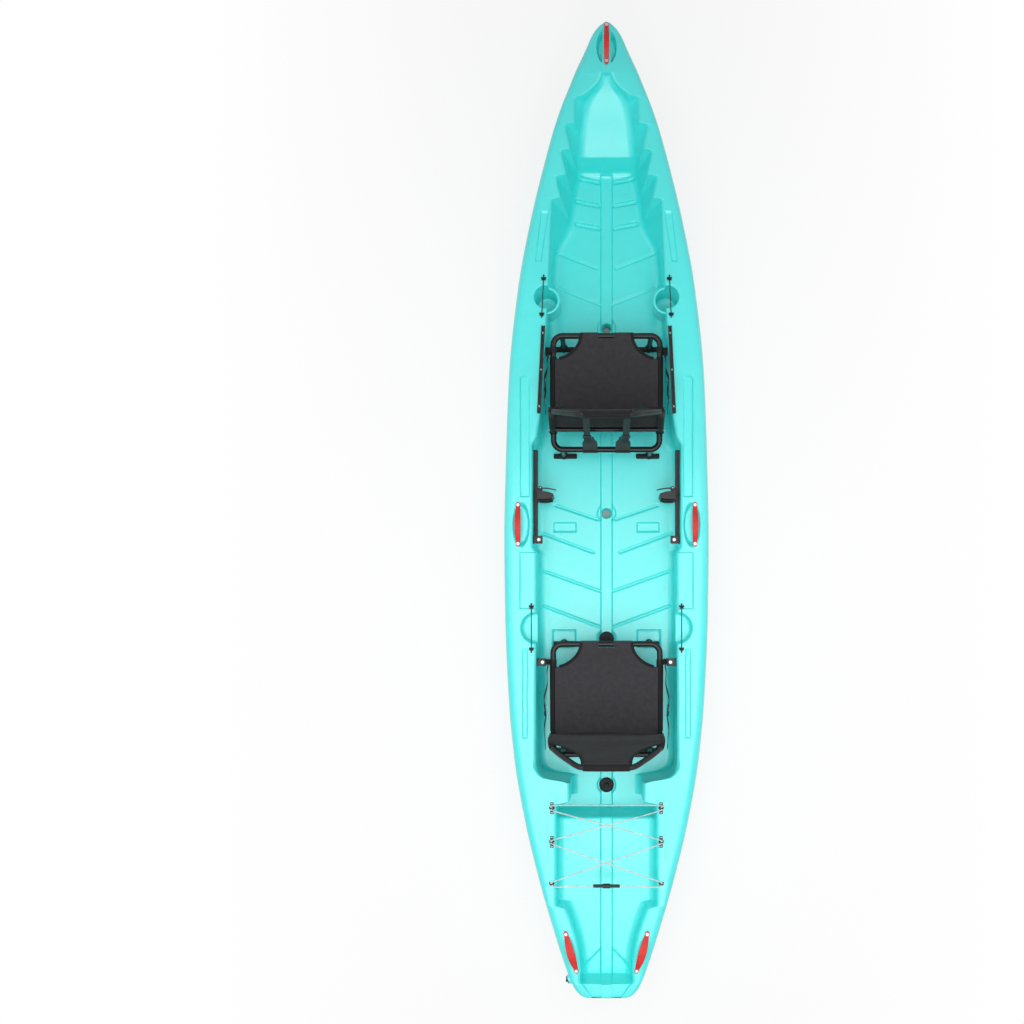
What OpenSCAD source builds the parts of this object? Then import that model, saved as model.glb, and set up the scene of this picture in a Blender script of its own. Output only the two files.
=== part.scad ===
// Sit-on-top tandem kayak with two folding frame seats.
// +Y points to the bow, +X to starboard and +Z up.
// The origin is on the ground under the middle of the hull.

/* [Hull] */
// Overall length
hull_length = 4115; // [4080:5:4150]
// Widest beam
hull_beam = 889; // [880:1:900]
// Wall of the hollow moulded shell
wall = 5; // [4:0.5:5.5]
// Height of the cockpit floor above the ground
floor_h = 90; // [86:1:94]
// Radius of a scupper bore
scupper_r = 20; // [18:1:21]
// Radius of a cup holder
cup_r = 48; // [44:1:50]
// Height of a cup holder's floor above the ground
cup_floor = 150; // [130:1:180]
// Radius of a side pocket
pocket_r = 66; // [55:1:70]

/* [Fittings] */
// Width of a carry handle
handle_w = 22; // [18:1:26]
// Height of a carry handle's arch
handle_rise = 26; // [22:1:32]
// Thickness of a carry handle
handle_t = 6; // [5:0.5:8]
// Length of a foot-brace rail
rail_l = 388; // [360:1:388]
// Radius of the tank well shock cord
cord_r = 2.5; // [2:0.1:3]
// Radius of a paddle keeper cord
keeper_r = 2; // [1.5:0.1:2.5]

/* [Seats] */
// Distance between the side tubes' centres
seat_w = 456; // [440:1:460]
// Length of the base frame between tube centres
seat_l = 480; // [460:1:490]
// Radius of a frame tube
tube_r = 12.5; // [11:0.5:13]
// Height of the front bar above the ground
seat_h = 310; // [300:1:320]
// Fall of the base frame towards its rear, in degrees
seat_rake = 5.7; // [4:0.1:7]
// Recline of the rear seat's back, in degrees
rear_recline = 2; // [0:0.1:9]
// Forward lean of the front seat's back, in degrees
front_lean = 7; // [0:0.1:9]
// Sag of the base sling
sling_sag = 26; // [10:1:30]

/* [Hidden] */
$fn = 48;

// The tables below describe a hull of this length and beam, and scale with the two driving sizes
table_length = 4115;
table_beam = 889;
along = hull_length / table_length;
across = hull_beam / table_beam;
half_length = table_length / 2;

// Colours of the pieces
aqua = [0.36, 0.85, 0.82];
handle_red = [0.86, 0.16, 0.12];
black = [0.08, 0.08, 0.09];
charcoal = [0.19, 0.2, 0.21];
cord_grey = [0.75, 0.77, 0.77];
steel = [0.8, 0.8, 0.82];
foam_white = [0.93, 0.93, 0.9];

// Table of offsets, stern to bow: half breadth at the gunwale
breadths = [
    [-half_length, 105], [-2045, 126], [-2020, 147], [-1950, 176], [-1770, 234], [-1560, 295], [-1300, 358],
    [-1050, 401], [-800, 425], [-420, 441], [-100, 444.5], [220, 438], [600, 424], [980, 383], [1240, 334],
    [1490, 272], [1670, 218], [1840, 149], [1950, 98], [2010, 70], [2045, 40], [half_length, 14]
];
// Lowest line of the bottom
keels = [
    [-half_length, 240], [-2040, 215], [-2010, 150], [-1975, 100], [-1945, 75], [-1880, 58], [-1700, 38],
    [-1450, 22], [-1150, 10], [-800, 0], [1000, 0], [1250, 8], [1450, 20], [1600, 40], [1700, 62],
    [1800, 98], [1880, 140], [1960, 205], [2010, 250], [2045, 290], [half_length, 310]
];
// Crease between the side and the chine
chines = [
    [-half_length, 276], [-2010, 218], [-1770, 186], [-1420, 144], [-1000, 112], [-480, 83], [30, 75],
    [600, 88], [790, 97], [1310, 143], [1580, 178], [1800, 227], [1900, 252], [2010, 305], [half_length, 346]
];
// Height of the gunwale
sheers = [
    [-half_length, 350], [-1700, 350], [-1300, 334], [-700, 320], [400, 320], [900, 326], [1400, 345],
    [1800, 376], [1880, 384], [half_length, 384]
];
// Half width of the wells at the gunwale, with the five foot steps towards the bow
well_widths = [
    [-half_length, 60], [-2003, 95], [-1990, 110], [-1950, 108], [-1680, 172], [-1664, 213], [-1245, 213],
    [-1228, 156], [-1150, 156], [-1128, 262], [-1100, 292], [-1060, 300], [-170, 300], [-135, 316],
    [290, 316], [330, 296], [420, 282], [800, 258], [980, 248], [1235, 236], [1327, 232], [1339, 196],
    [1424, 211], [1436, 172], [1530, 189], [1542, 155], [1636, 172], [1648, 134], [1746, 134],
    [1758, 95], [1838, 22], [2010, 20], [half_length, 8]
];
// Half width of the wells at the floor
floor_widths = [
    [-half_length, 50], [-1990, 100], [-1950, 98], [-1680, 160], [-1664, 200], [-1245, 200], [-1228, 145],
    [-1150, 145], [-1128, 250], [-1100, 284], [-1060, 292], [-170, 292], [-135, 308], [290, 308], [330, 288],
    [420, 274], [800, 250], [980, 240], [1180, 222], [1300, 165], [1450, 140], [1560, 118], [1690, 100],
    [1758, 80], [1838, 14], [2010, 12], [half_length, 5]
];
// Height of the floors: over the decks the level is above the gunwale, which then closes the section
above_deck = 420;
floor_levels = [
    [-half_length, above_deck], [-2003, above_deck], [-1988, 250], [-1960, 250], [-1345, 236], [-1318, 228],
    [-1288, floor_h + 18], [-1262, floor_h], [1535, floor_h], [1548, floor_h + 12], [1566, 198], [1575, 205],
    [1838, 372], [1850, above_deck], [half_length, above_deck]
];
// How flat the bottom is: 1 is a flat-keeled tunnel, 0 a vee
flatness = [[-1900, 0], [-1300, 1], [1250, 1], [1850, 0]];
// Share of the half breadth that the keel strips, the inner chine and the outer chine reach
keel_share = [
    [-half_length, 0.4], [-1500, 0.5], [-700, 0.55], [700, 0.5], [1300, 0.3], [1800, 0.12], [half_length, 0.1]
];
inner_chine_share = [[-half_length, 0.6], [-1400, 0.78], [900, 0.8], [1500, 0.6], [half_length, 0.4]];
outer_chine_share = [[-half_length, 0.86], [-1400, 0.9], [900, 0.92], [1500, 0.84], [half_length, 0.7]];

// Stations of the outer surface and of the hollow inside it
outer_stations = [
    -half_length, -2045, -2025, -2003, -1996, -1988, -1965, -1930, -1880, -1780, -1680, -1664, -1560, -1450,
    -1345, -1318, -1303, -1288, -1262, -1245, -1228, -1150, -1138, -1128, -1100, -1060, -920, -760, -560,
    -360, -170, -152, -135, 80, 290, 310, 330, 420, 600, 800, 980, 1110, 1235, 1327, 1339, 1424, 1436, 1530,
    1542, 1566, 1575, 1636, 1648, 1746, 1758, 1800, 1838, 1850, 1880, 1930, 1980, 2015, 2040, half_length
];
hollow_stations = [
    -2040, -2024, -2008, -1999, -1983, -1930, -1880, -1780, -1690, -1673, -1656, -1500, -1350, -1323, -1284,
    -1257, -1240, -1222, -1156, -1134, -1122, -1095, -1055, -760, -400, -165, -130, 80, 285, 325, 420, 800,
    980, 1235, 1327, 1424, 1528, 1543, 1561, 1580, 1636, 1746, 1838, 1860, 1930, 1990
];
bow_foam_stations = [1610, 1680, 1740];
stern_foam_stations = [-1860, -1760, -1700];

// Small sizes of the hull's section
bilge_drop = 60;
gunwale_edge = 14;
well_lip = 10;
deck_crown = 8;
keel_tunnel = 6;
channel_w = 23;
channel_d = 8;
foam_gap = 5;
foam_crown = 4;

// Scuppers, stern last: the front two are open and the rear two hold plugs
scupper_ys = [852 * along, 23 * along, -540 * along, -1195 * along];
scupper_ring_r = 41;
ring_z = floor_h - 6;
cup_at = [260 * across, 921 * along];
cup_rim = 275;
pocket_at = [300 * across, -490 * along];
pocket_floor = 235;

// Drain plug on the port stern corner
drain_at = [-153 * across, -1985 * along, 316];
drain_turn = 203;
drain_boss_r = 21;
drain_bore_r = 9;
drain_boss_out = 10;
drain_boss_in = 26;

// Shaft clearance of a running fit, and the gap left between pieces that only lie on each other
running_gap = 0.06;
lay_gap = 0.3;

// Carry handles: [x, y, turn from fore-and-aft, height of the deck under it, length]
deck_top = 384 + deck_crown;
handles = [
    [0, 1962 * along, 0, deck_top, 176],
    [-377 * across, -48 * along, 0, 320, 190],
    [377 * across, -48 * along, 0, 320, 190],
    [-150 * across, -1862 * along, 16, 350, 186],
    [150 * across, -1862 * along, -16, 350, 186]
];
handle_pad = 24;
bolt_r = 3;
bolt_head_r = 7;
bolt_head_h = 3.5;
bolt_grip = 14;
bolt_gap = 0.2;

// Accessory tracks on the gunwales
track_ends = [[269 * across, 796 * along], [288 * across, 425 * along]];
track_w = 16;
track_h = 10;

// Foot braces
rail_y = 86 * along;
rail_x = [298 * across, 316 * across];
rail_z = [222, 250];
pedal_y = 86 * along;
pedal_z = [182, 290];
trigger_pivot = [286 * across, pedal_y + 31];
trigger_pin_r = 2.5;

// Hold-down brackets: positions along the hull
hold_down_ys = [700 * along, -110 * along, -637 * along];
hold_down_top = 280;
hold_down_drop = 28;
hold_down_t = 4;
hold_down_reach = 40;
hold_down_w = 34;
hold_down_bolt_x = 24;

// Tank well pad eyes and paddle keeper eyes on the starboard side
eye_x = 232 * across;
eye_ys = [-1256 * along, -1398 * along, -1573 * along];
eye_r = 6.5;
eye_wire = 2;
eye_gap = 0.8;
keeper_ys = [[996 * along, 846 * along], [-400 * along, -580 * along]];
keeper_out = 20;
cord_lift = 5.9;

// Seats
seat_ys = [758 * along, -558 * along];
recline = [-front_lean, rear_recline];
corner_r = 40;
hinge_back = 400;
hinge_up = 30;
hinge_pin_r = 4;
hinge_eye_w = 22;
hinge_eye_r = 12;
hinge_plate_t = 4;
hinge_plate_r = 14;
hinge_play = 1.2;
hinge_inner = seat_w / 2 - hinge_eye_w / 2 - hinge_play - hinge_plate_t;
hinge_outer = seat_w / 2 + hinge_eye_w / 2 + hinge_play + hinge_plate_t;
leg_x = 190;
leg_r = 11;
foot_h = 24;
foot_r = 17;
sling_t = 3;
strap_w = 25;
strap_t = 2;
strap_x = seat_w / 2 + tube_r + 4.5;
back_strap_x = 80;
back_strap_w = 40;

// Back frame's starboard half, from the hinge to the middle of the top bar
back_path = [
    [seat_w / 2, 0, 4], [seat_w / 2, -8, 34], [seat_w / 2, 4, 90], [seat_w / 2, 20, 150],
    [seat_w / 2 - 2, 14, 210], [seat_w / 2 - 12, -4, 265], [seat_w / 2 - 42, -22, 312],
    [148, -40, 356], [116, -54, 388], [86, -59, 398], [0, -60, 400]
];

// A smooth curve through a table of [position, value] pairs that never swings past its values
function segment(y, t, i = 0) = i >= len(t) - 2 || y <= t[i + 1][0] ? i : segment(y, t, i + 1);
function rate(t, i) = (t[i + 1][1] - t[i][1]) / (t[i + 1][0] - t[i][0]);
function tangent(t, i) =
    i == 0 ? rate(t, 0)
    : i == len(t) - 1 ? rate(t, i - 1)
    : let (a = rate(t, i - 1), b = rate(t, i)) a * b <= 0 ? 0 : 2 * a * b / (a + b);
function curve(y, t) =
    let (
        i = segment(y, t),
        h = t[i + 1][0] - t[i][0],
        s = min(max((y - t[i][0]) / h, 0), 1),
        ease = s * s * (3 - 2 * s)
    )
    t[i][1] * (1 - ease) + t[i + 1][1] * ease
    + h * s * (1 - s) * ((1 - s) * tangent(t, i) - s * tangent(t, i + 1));

// The hull's lines at a place along it
function half_breadth(y) = across * curve(y / along, breadths);
function sheer_z(y) = curve(y / along, sheers);
function well_w(y) = across * curve(y / along, well_widths);
function widest(t, y, by) = across * max([for (d = [-by, 0, by]) curve((y + d) / along, t)]);
function lowest(t, y, by) = min([for (d = [-by, 0, by]) curve((y + d) / along, t)]);

// Starboard half of the hull's section, keel to floor, drawn in by t
function half_section(y, t) =
    let (
        b = half_breadth(y) - t,
        k = curve(y / along, keels) + t,
        g = sheer_z(y) - t,
        c = max(curve(y / along, chines), k + 30),
        flat = curve(y / along, flatness),
        vee = 10 * (1 - flat),
        strip = b * curve(y / along, keel_share),
        edge = min(gunwale_edge, 0.4 * b),
        top = widest(well_widths, y, t) + t,
        lip = min(well_lip, 0.1 * b),
        toe = widest(floor_widths, y, t) + t,
        fillet = min(14, 0.4 * toe),
        level = lowest(floor_levels, y, t) - t,
        depth = max(0, g - level),
        crown = deck_crown * (1 - min(1, depth / 20)),
        groove_w = min(channel_w, 0.5 * (toe - fillet)),
        groove_d = min(channel_d, 0.2 * depth),
        deck = function (x) g + crown * (1 - x / b),
        ground = function (x) min(level, deck(x)),
        foot = toe + min(8, 0.3 * toe),
        groove_edge = groove_w + min(5, 0.2 * groove_w)
    )
    [
        [0, k + keel_tunnel * flat],
        [0.45 * strip, k + 0.45 * vee],
        [strip, k + vee],
        [b * curve(y / along, inner_chine_share), k + max(0.45 * (c - k), vee + 4)],
        [b * curve(y / along, outer_chine_share), c],
        [b, g - bilge_drop],
        [b - edge, g],
        [top + lip, deck(top + lip)],
        [top, deck(top) - min(8, 0.3 * depth)],
        [foot, ground(foot) + min(16, 0.4 * depth)],
        [toe - fillet, ground(toe - fillet)],
        [groove_edge, ground(groove_edge)],
        [groove_w, ground(groove_w) - groove_d + min(1, groove_d)],
        [0, ground(0) - groove_d]
    ];

// Starboard half of a foam block's section, between the bottom and the floor
function foam_section(y) =
    let (
        half = half_section(y, wall + foam_gap),
        chine = half[4],
        top = half[len(half) - 1][1]
    )
    [
        [0, max(half[0][1], half[2][1])],
        half[3],
        chine,
        [chine[0], top - foam_crown],
        [0, top]
    ];

// Closed ring of a section: starboard side up, port side down
function ring(y, half) = [
    for (p = half) [p[0], y, p[1]],
    for (i = [len(half) - 2:-1:1]) [-half[i][0], y, half[i][1]]
];
function rings(stations, t) = [for (y = stations) ring(y * along, half_section(y * along, t))];
function foam_rings(stations) = [for (y = stations) ring(y * along, foam_section(y * along))];

// Solid through a row of rings
module loft(rows) {
    n = len(rows[0]);
    half = n / 2;
    last = (len(rows) - 1) * n;
    sides = [
        for (j = [0:len(rows) - 2], i = [0:n - 1])
            let (a = j * n + i, b = j * n + (i + 1) % n)
            each [[a, b, b + n], [a, b + n, a + n]]
    ];
    stern_cap = [
        for (i = [0:half - 1])
            each [
                if (i < half - 1) [i, n - i - 1, i + 1],
                if (i > 0) [i, n - i, n - i - 1]
            ]
    ];
    bow_cap = [for (f = stern_cap) [last + f[0], last + f[2], last + f[1]]];
    polyhedron(points = [for (r = rows) each r], faces = concat(sides, stern_cap, bow_cap));
}

// Points along a smooth curve through p, n to each stretch
function between(a, b, c, d, s) =
    b + 0.5 * s * (c - a + s * (2 * a - 5 * b + 4 * c - d + s * (3 * (b - c) + d - a)));
function smooth_path(p, n) = [
    for (i = [0:len(p) - 2], k = [0:n - 1])
        between(p[max(i - 1, 0)], p[i], p[i + 1], p[min(i + 2, len(p) - 1)], k / n),
    p[len(p) - 1]
];

// Round tube along a path, with its rings set out from a direction that the path never takes
module tube(path, r, sides, ref) {
    n = len(path);
    points = [
        for (i = [0:n - 1])
            let (
                ahead = path[min(i + 1, n - 1)] - path[max(i - 1, 0)],
                t = ahead / norm(ahead),
                side = cross(ref, t),
                u = side / norm(side),
                v = cross(t, u)
            )
            for (k = [0:sides - 1]) path[i] + r * (cos(360 * k / sides) * u + sin(360 * k / sides) * v)
    ];
    walls = [
        for (j = [0:n - 2], k = [0:sides - 1])
            let (a = j * sides + k, b = j * sides + (k + 1) % sides)
            each [[a, a + sides, b + sides], [a, b + sides, b]]
    ];
    start = [for (k = [1:sides - 2]) [0, k, k + 1]];
    end = [for (f = start) [for (k = [0, 2, 1]) (n - 1) * sides + f[k]]];
    polyhedron(points = points, faces = concat(walls, start, end));
}

// Thin sheet: a grid of points, and the same grid moved by an offset
module sheet(grid, offset) {
    rows = len(grid);
    cols = len(grid[0]);
    upper = rows * cols;
    flat = [for (row = grid) each row];
    faces = [
        for (r = [0:rows - 2], c = [0:cols - 2])
            let (a = r * cols + c, b = a + 1, d = a + cols, e = d + 1)
            each [
                [upper + a, upper + d, upper + e], [upper + a, upper + e, upper + b],
                [a, b, e], [a, e, d]
            ],
        for (c = [0:cols - 2], r = [0, rows - 1])
            let (
                a = r * cols + (r == 0 ? c : c + 1),
                b = r * cols + (r == 0 ? c + 1 : c)
            )
            each [[a, upper + a, upper + b], [a, upper + b, b]],
        for (r = [0:rows - 2], c = [0, cols - 1])
            let (
                a = (c == 0 ? r + 1 : r) * cols + c,
                b = (c == 0 ? r : r + 1) * cols + c
            )
            each [[a, upper + a, upper + b], [a, upper + b, b]]
    ];
    polyhedron(points = concat(flat, [for (p = flat) p + offset]), faces = faces);
}

module both_sides() {
    children();
    mirror([1, 0, 0]) children();
}
module on_side(side) {
    mirror([side < 0 ? 1 : 0, 0, 0]) children();
}

// Hull shell
module drain_axis() {
    translate(drain_at) rotate([0, 0, drain_turn]) rotate([0, 90, 0]) children();
}
module drain_boss() {
    drain_axis() translate([0, 0, -drain_boss_in])
        cylinder(r = drain_boss_r, h = drain_boss_in + drain_boss_out);
}
module cup_column(r, low, high) {
    both_sides() translate([cup_at[0], cup_at[1], low]) cylinder(r = r, h = high - low);
}
module pocket_column(r, low) {
    both_sides() translate([pocket_at[0], pocket_at[1], low]) cylinder(r = r, h = 400);
}
module scupper_columns(r, low, high) {
    for (y = scupper_ys) translate([0, y, low]) cylinder(r = r, h = high - low);
}
module hull_hollow() {
    difference() {
        union() {
            loft(rings(hollow_stations, wall));
            cup_column(cup_r, 60, cup_floor - wall - 1);
        }
        cup_column(cup_r + wall, cup_floor - wall, 400);
        pocket_column(pocket_r + wall, pocket_floor - wall);
        scupper_columns(scupper_r + wall, -10, 200);
        scupper_columns(scupper_ring_r + wall, ring_z - wall, 200);
        drain_boss();
    }
}
module hull_shell() color(aqua) {
    difference() {
        union() {
            loft(rings(outer_stations, 0));
            cup_column(cup_r + wall, floor_h - 4, cup_rim);
            drain_boss();
        }
        hull_hollow();
        cup_column(cup_r, cup_floor, 400);
        pocket_column(pocket_r, pocket_floor);
        scupper_columns(scupper_r, -10, 200);
        scupper_columns(scupper_ring_r, ring_z, 200);
        drain_axis() translate([0, 0, -drain_boss_in - 8]) cylinder(r = drain_bore_r, h = 60);
    }
}
module foam_block_bow() color(foam_white) loft(foam_rings(bow_foam_stations));
module foam_block_stern() color(foam_white) loft(foam_rings(stern_foam_stations));

// Carry handles
function arch(s, l) =
    let (u = min(max((l / 2 - handle_pad - abs(s)) / (l / 2 - handle_pad), 0), 1)) handle_rise * sin(90 * u);
module at_handle(h) {
    translate([h[0], h[1], h[3] + lay_gap]) rotate([0, 0, h[2]]) children();
}
module carry_handle(h) color(handle_red) {
    l = h[4];
    steps = 20;
    run = [for (i = [0:steps]) -l / 2 + l * i / steps];
    low = [for (s = run) [s, arch(s, l)]];
    high = [for (i = [steps:-1:0]) [run[i], arch(run[i], l) + handle_t]];
    at_handle(h) difference() {
        translate([-handle_w / 2, 0, 0]) rotate([90, 0, 90])
            linear_extrude(handle_w) polygon(concat(low, high));
        for (end = [-1, 1])
            translate([0, end * (l - handle_pad) / 2, -1])
                cylinder(r = bolt_r + bolt_gap, h = 2 * handle_rise);
    }
}
module bow_handle() carry_handle(handles[0]);
module port_side_handle() carry_handle(handles[1]);
module starboard_side_handle() carry_handle(handles[2]);
module port_stern_handle() carry_handle(handles[3]);
module starboard_stern_handle() carry_handle(handles[4]);
module handle_bolts() color(steel) {
    for (h = handles, end = [-1, 1])
        at_handle(h) translate([0, end * (h[4] - handle_pad) / 2, handle_t]) {
            cylinder(r = bolt_head_r, h = bolt_head_h);
            translate([0, 0, -bolt_grip]) cylinder(r = bolt_r, h = bolt_grip + 1);
        }
}

// Accessory tracks
track_run = track_ends[0] - track_ends[1];
track_l = norm(track_run);
track_turn = atan2(track_run[1], track_run[0]);
track_z = sheer_z(track_ends[1][1]) + lay_gap;
track_pitch = atan2(sheer_z(track_ends[0][1]) + lay_gap - track_z, track_l);
track_slot_w = 5;
track_slot_in = 11;
track_floor = 3;
module at_track(side) {
    on_side(side) translate([track_ends[1][0], track_ends[1][1], track_z])
        rotate([0, -track_pitch, track_turn]) children();
}
module track(side) color(black) {
    at_track(side) rotate([90, 0, 90]) linear_extrude(track_l) difference() {
        translate([-track_w / 2, 0]) square([track_w, track_h]);
        translate([-track_slot_in / 2, track_floor]) square([track_slot_in, 4]);
        translate([-track_slot_w / 2, track_floor + 1]) square([track_slot_w, track_h]);
    }
}
module port_track() track(-1);
module starboard_track() track(1);
module track_screws() color(steel) {
    for (side = [-1, 1], share = [0.08, 0.5, 0.92])
        at_track(side) translate([share * track_l, 0, track_floor]) {
            cylinder(r = 4, h = 2);
            translate([0, 0, -12]) cylinder(r = 2, h = 13);
        }
}

// Foot braces: rail, sliding pedal, trigger and its pin
rail_slot = 10;
rail_cave = 18;
rail_lip = 5;
rail_back = 5;
screw_head_h = 2;
rail_mid = (rail_z[0] + rail_z[1]) / 2;
slide_gap = 0.4;
module along_rail(y, l) {
    translate([0, y + l / 2, 0]) rotate([90, 0, 0]) linear_extrude(l) children();
}
module tee(lip_x, grow) {
    translate([lip_x - 1, rail_mid - rail_slot / 2 - grow]) square([rail_lip + 2, rail_slot + 2 * grow]);
    translate([lip_x + rail_lip - grow, rail_mid - rail_cave / 2 - grow])
        square([rail_x[1] - rail_back - lip_x - rail_lip + 2 * grow, rail_cave + 2 * grow]);
}
module foot_rail(side) color(black) {
    on_side(side) along_rail(rail_y, rail_l) difference() {
        translate([rail_x[0], rail_z[0]]) square([rail_x[1] - rail_x[0], rail_z[1] - rail_z[0]]);
        tee(rail_x[0], 0);
    }
}
module port_foot_rail() foot_rail(-1);
module starboard_foot_rail() foot_rail(1);
module rail_screws() color(steel) {
    for (end = [-1, 1])
        both_sides()
            translate([rail_x[1] - rail_back - screw_head_h, rail_y + end * (rail_l / 2 - 12), rail_mid])
                rotate([0, 90, 0]) {
                    cylinder(r = 5, h = screw_head_h);
                    cylinder(r = 2.2, h = 20);
                }
}
pedal_l = 60;
pedal_face = rail_x[0] - slide_gap;
lug_z = [[216, 228], [244, 256]];
lug_r = 7;
module foot_pedal(side) color(black) {
    on_side(side) difference() {
        union() {
            along_rail(pedal_y, pedal_l) tee(rail_x[0], -slide_gap);
            translate([pedal_face - 9, pedal_y - pedal_l / 2, 214]) cube([9, pedal_l, 44]);
            translate([0, pedal_y, pedal_z[0]]) linear_extrude(pedal_z[1] - pedal_z[0])
                polygon([
                    [pedal_face, -22], [pedal_face - 40, -22], [pedal_face - 64, -17], [pedal_face - 70, -8],
                    [pedal_face - 68, 2], [pedal_face - 44, 10], [pedal_face, 14]
                ]);
            for (z = lug_z) {
                translate([trigger_pivot[0], trigger_pivot[1], z[0]]) cylinder(r = lug_r, h = z[1] - z[0]);
                translate([trigger_pivot[0] - lug_r, pedal_y + 5, z[0]])
                    cube([2 * lug_r, trigger_pivot[1] - pedal_y - 5, z[1] - z[0]]);
            }
        }
        translate([trigger_pivot[0], trigger_pivot[1], lug_z[0][1]])
            cylinder(r = lug_r + 1, h = lug_z[1][0] - lug_z[0][1]);
        translate([trigger_pivot[0], trigger_pivot[1], 200]) cylinder(r = trigger_pin_r, h = 80);
    }
}
module port_foot_pedal() foot_pedal(-1);
module starboard_foot_pedal() foot_pedal(1);
trigger_z = [lug_z[0][1] + slide_gap, lug_z[1][0] - slide_gap];
module pedal_trigger(side) color(black) {
    h = trigger_z[1] - trigger_z[0];
    bow = function (u) 3 * u - 12 * u * u;
    run = [for (i = [0:8]) i / 8];
    aft = [for (u = run) [-68 * u, bow(u) - 2]];
    fore = [for (i = [8:-1:0]) [-68 * run[i], bow(run[i]) + 2]];
    on_side(side) translate([trigger_pivot[0], trigger_pivot[1], trigger_z[0]]) difference() {
        union() {
            cylinder(r = 6, h = h);
            linear_extrude(h) polygon(concat(aft, fore));
        }
        translate([0, 0, -1]) cylinder(r = trigger_pin_r + running_gap, h = h + 2);
    }
}
module port_pedal_trigger() pedal_trigger(-1);
module starboard_pedal_trigger() pedal_trigger(1);
module trigger_pin(side) color(steel) {
    on_side(side) translate([trigger_pivot[0], trigger_pivot[1], lug_z[0][0]])
        cylinder(r = trigger_pin_r, h = lug_z[1][1] - lug_z[0][0]);
}
module port_trigger_pin() trigger_pin(-1);
module starboard_trigger_pin() trigger_pin(1);

// Scupper plugs
module scupper_plug(y) color(black) {
    stem_r = scupper_r - running_gap;
    translate([0, y, ring_z + lay_gap]) rotate_extrude()
        polygon([
            [0, -44], [14, -44], [stem_r, -30], [stem_r, 0], [33, 0], [33, 3],
            [27, 5], [10, 5], [7, 12], [10, 17], [7, 21], [0, 21]
        ]);
}
module middle_scupper_plug() scupper_plug(scupper_ys[2]);
module rear_scupper_plug() scupper_plug(scupper_ys[3]);

// Drain plug
gasket_t = 0.8;
drain_head = drain_boss_out + gasket_t + 2 * running_gap;
module drain_plug() color(black) {
    drain_axis() {
        translate([0, 0, drain_head - 24]) cylinder(r = drain_bore_r - running_gap, h = 25);
        translate([0, 0, drain_head]) cylinder(r = 16, h = 4);
        translate([-12, -3.5, drain_head + 3]) cube([24, 7, 7]);
    }
}
module drain_gasket() color(black) {
    drain_axis() translate([0, 0, drain_boss_out + running_gap]) difference() {
        cylinder(r = 13, h = gasket_t);
        translate([0, 0, -1]) cylinder(r = drain_bore_r + running_gap, h = 3);
    }
}

// Hold-down brackets on the cockpit walls
module at_hold_down(y) {
    wall_x = min([for (end = [-1, 1]) well_w(y + end * hold_down_w / 2)]);
    translate([wall_x - 1, y, hold_down_top]) children();
}
module hold_downs(y) color(black) {
    both_sides() at_hold_down(y) difference() {
        union() {
            translate([-hold_down_t, -hold_down_w / 2, -hold_down_drop])
                cube([hold_down_t, hold_down_w, hold_down_drop]);
            translate([-hold_down_reach, -hold_down_w / 2, -hold_down_t])
                cube([hold_down_reach, hold_down_w, hold_down_t]);
        }
        translate([-hold_down_bolt_x, 0, -6]) cylinder(r = bolt_r, h = 10);
    }
}
module front_hold_downs() hold_downs(hold_down_ys[0]);
module solo_hold_downs() hold_downs(hold_down_ys[1]);
module rear_hold_downs() hold_downs(hold_down_ys[2]);
module hold_down_bolts() color(steel) {
    for (y = hold_down_ys)
        both_sides() at_hold_down(y) translate([-hold_down_bolt_x, 0, 0]) {
            cylinder(r = bolt_head_r, h = bolt_head_h);
            translate([0, 0, -bolt_grip]) cylinder(r = bolt_r, h = bolt_grip + 1);
            translate([0, 0, -hold_down_t - 5]) cylinder(r = 6, h = 5, $fn = 6);
        }
}

// Pad eyes, their rivets and the cords they hold
eye_base_t = 2;
module pad_eye() {
    translate([-11, -7, 0]) cube([22, 14, eye_base_t]);
    translate([0, 0, eye_base_t]) rotate([90, 0, 0]) rotate_extrude(angle = 180)
        translate([eye_r + eye_wire, 0]) circle(r = eye_wire);
    for (end = [-1, 1]) translate([end * (eye_r + eye_wire), 0, 0]) cylinder(r = eye_wire, h = eye_base_t);
}
module at_eye(x, y) {
    translate([x, y, sheer_z(y) + eye_gap]) children();
}
module at_tank_eyes() {
    for (y = eye_ys) both_sides() at_eye(eye_x, y) children();
}
module at_keeper_eyes() {
    for (pair = keeper_ys, y = pair) both_sides() at_eye(well_w(y) + keeper_out, y) children();
}
module tank_well_pad_eyes() color(black) at_tank_eyes() pad_eye();
module keeper_pad_eyes() color(black) at_keeper_eyes() pad_eye();
rivet_x = 9.2;
rivet_grip = 6;
rivet_rise = 0.3;
module rivets() {
    for (end = [-1, 1]) translate([end * rivet_x, -4, 0]) {
        translate([0, 0, -rivet_grip]) cylinder(r = 1.2, h = rivet_grip + 1);
        cylinder(r = 1.7, h = eye_base_t + rivet_rise);
    }
}
module pad_eye_rivets() color(steel) {
    at_tank_eyes() rivets();
    at_keeper_eyes() rivets();
}
module keeper_cords(pair) color(black) {
    knot_out = 12;
    both_sides() {
        ends = [
            for (i = [0, 1])
                let (y = pair[i] + (i == 0 ? knot_out : -knot_out))
                [well_w(pair[i]) + keeper_out, y, sheer_z(pair[i]) + eye_gap + eye_base_t + keeper_r + 0.5]
        ];
        run = ends[1] - ends[0];
        translate(ends[0]) rotate([0, acos(run[2] / norm(run)), atan2(run[1], run[0])])
            cylinder(r = keeper_r, h = norm(run));
        for (p = ends) translate(p) sphere(r = 4);
    }
}
module front_keeper_cords() keeper_cords(keeper_ys[0]);
module rear_keeper_cords() keeper_cords(keeper_ys[1]);

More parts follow.
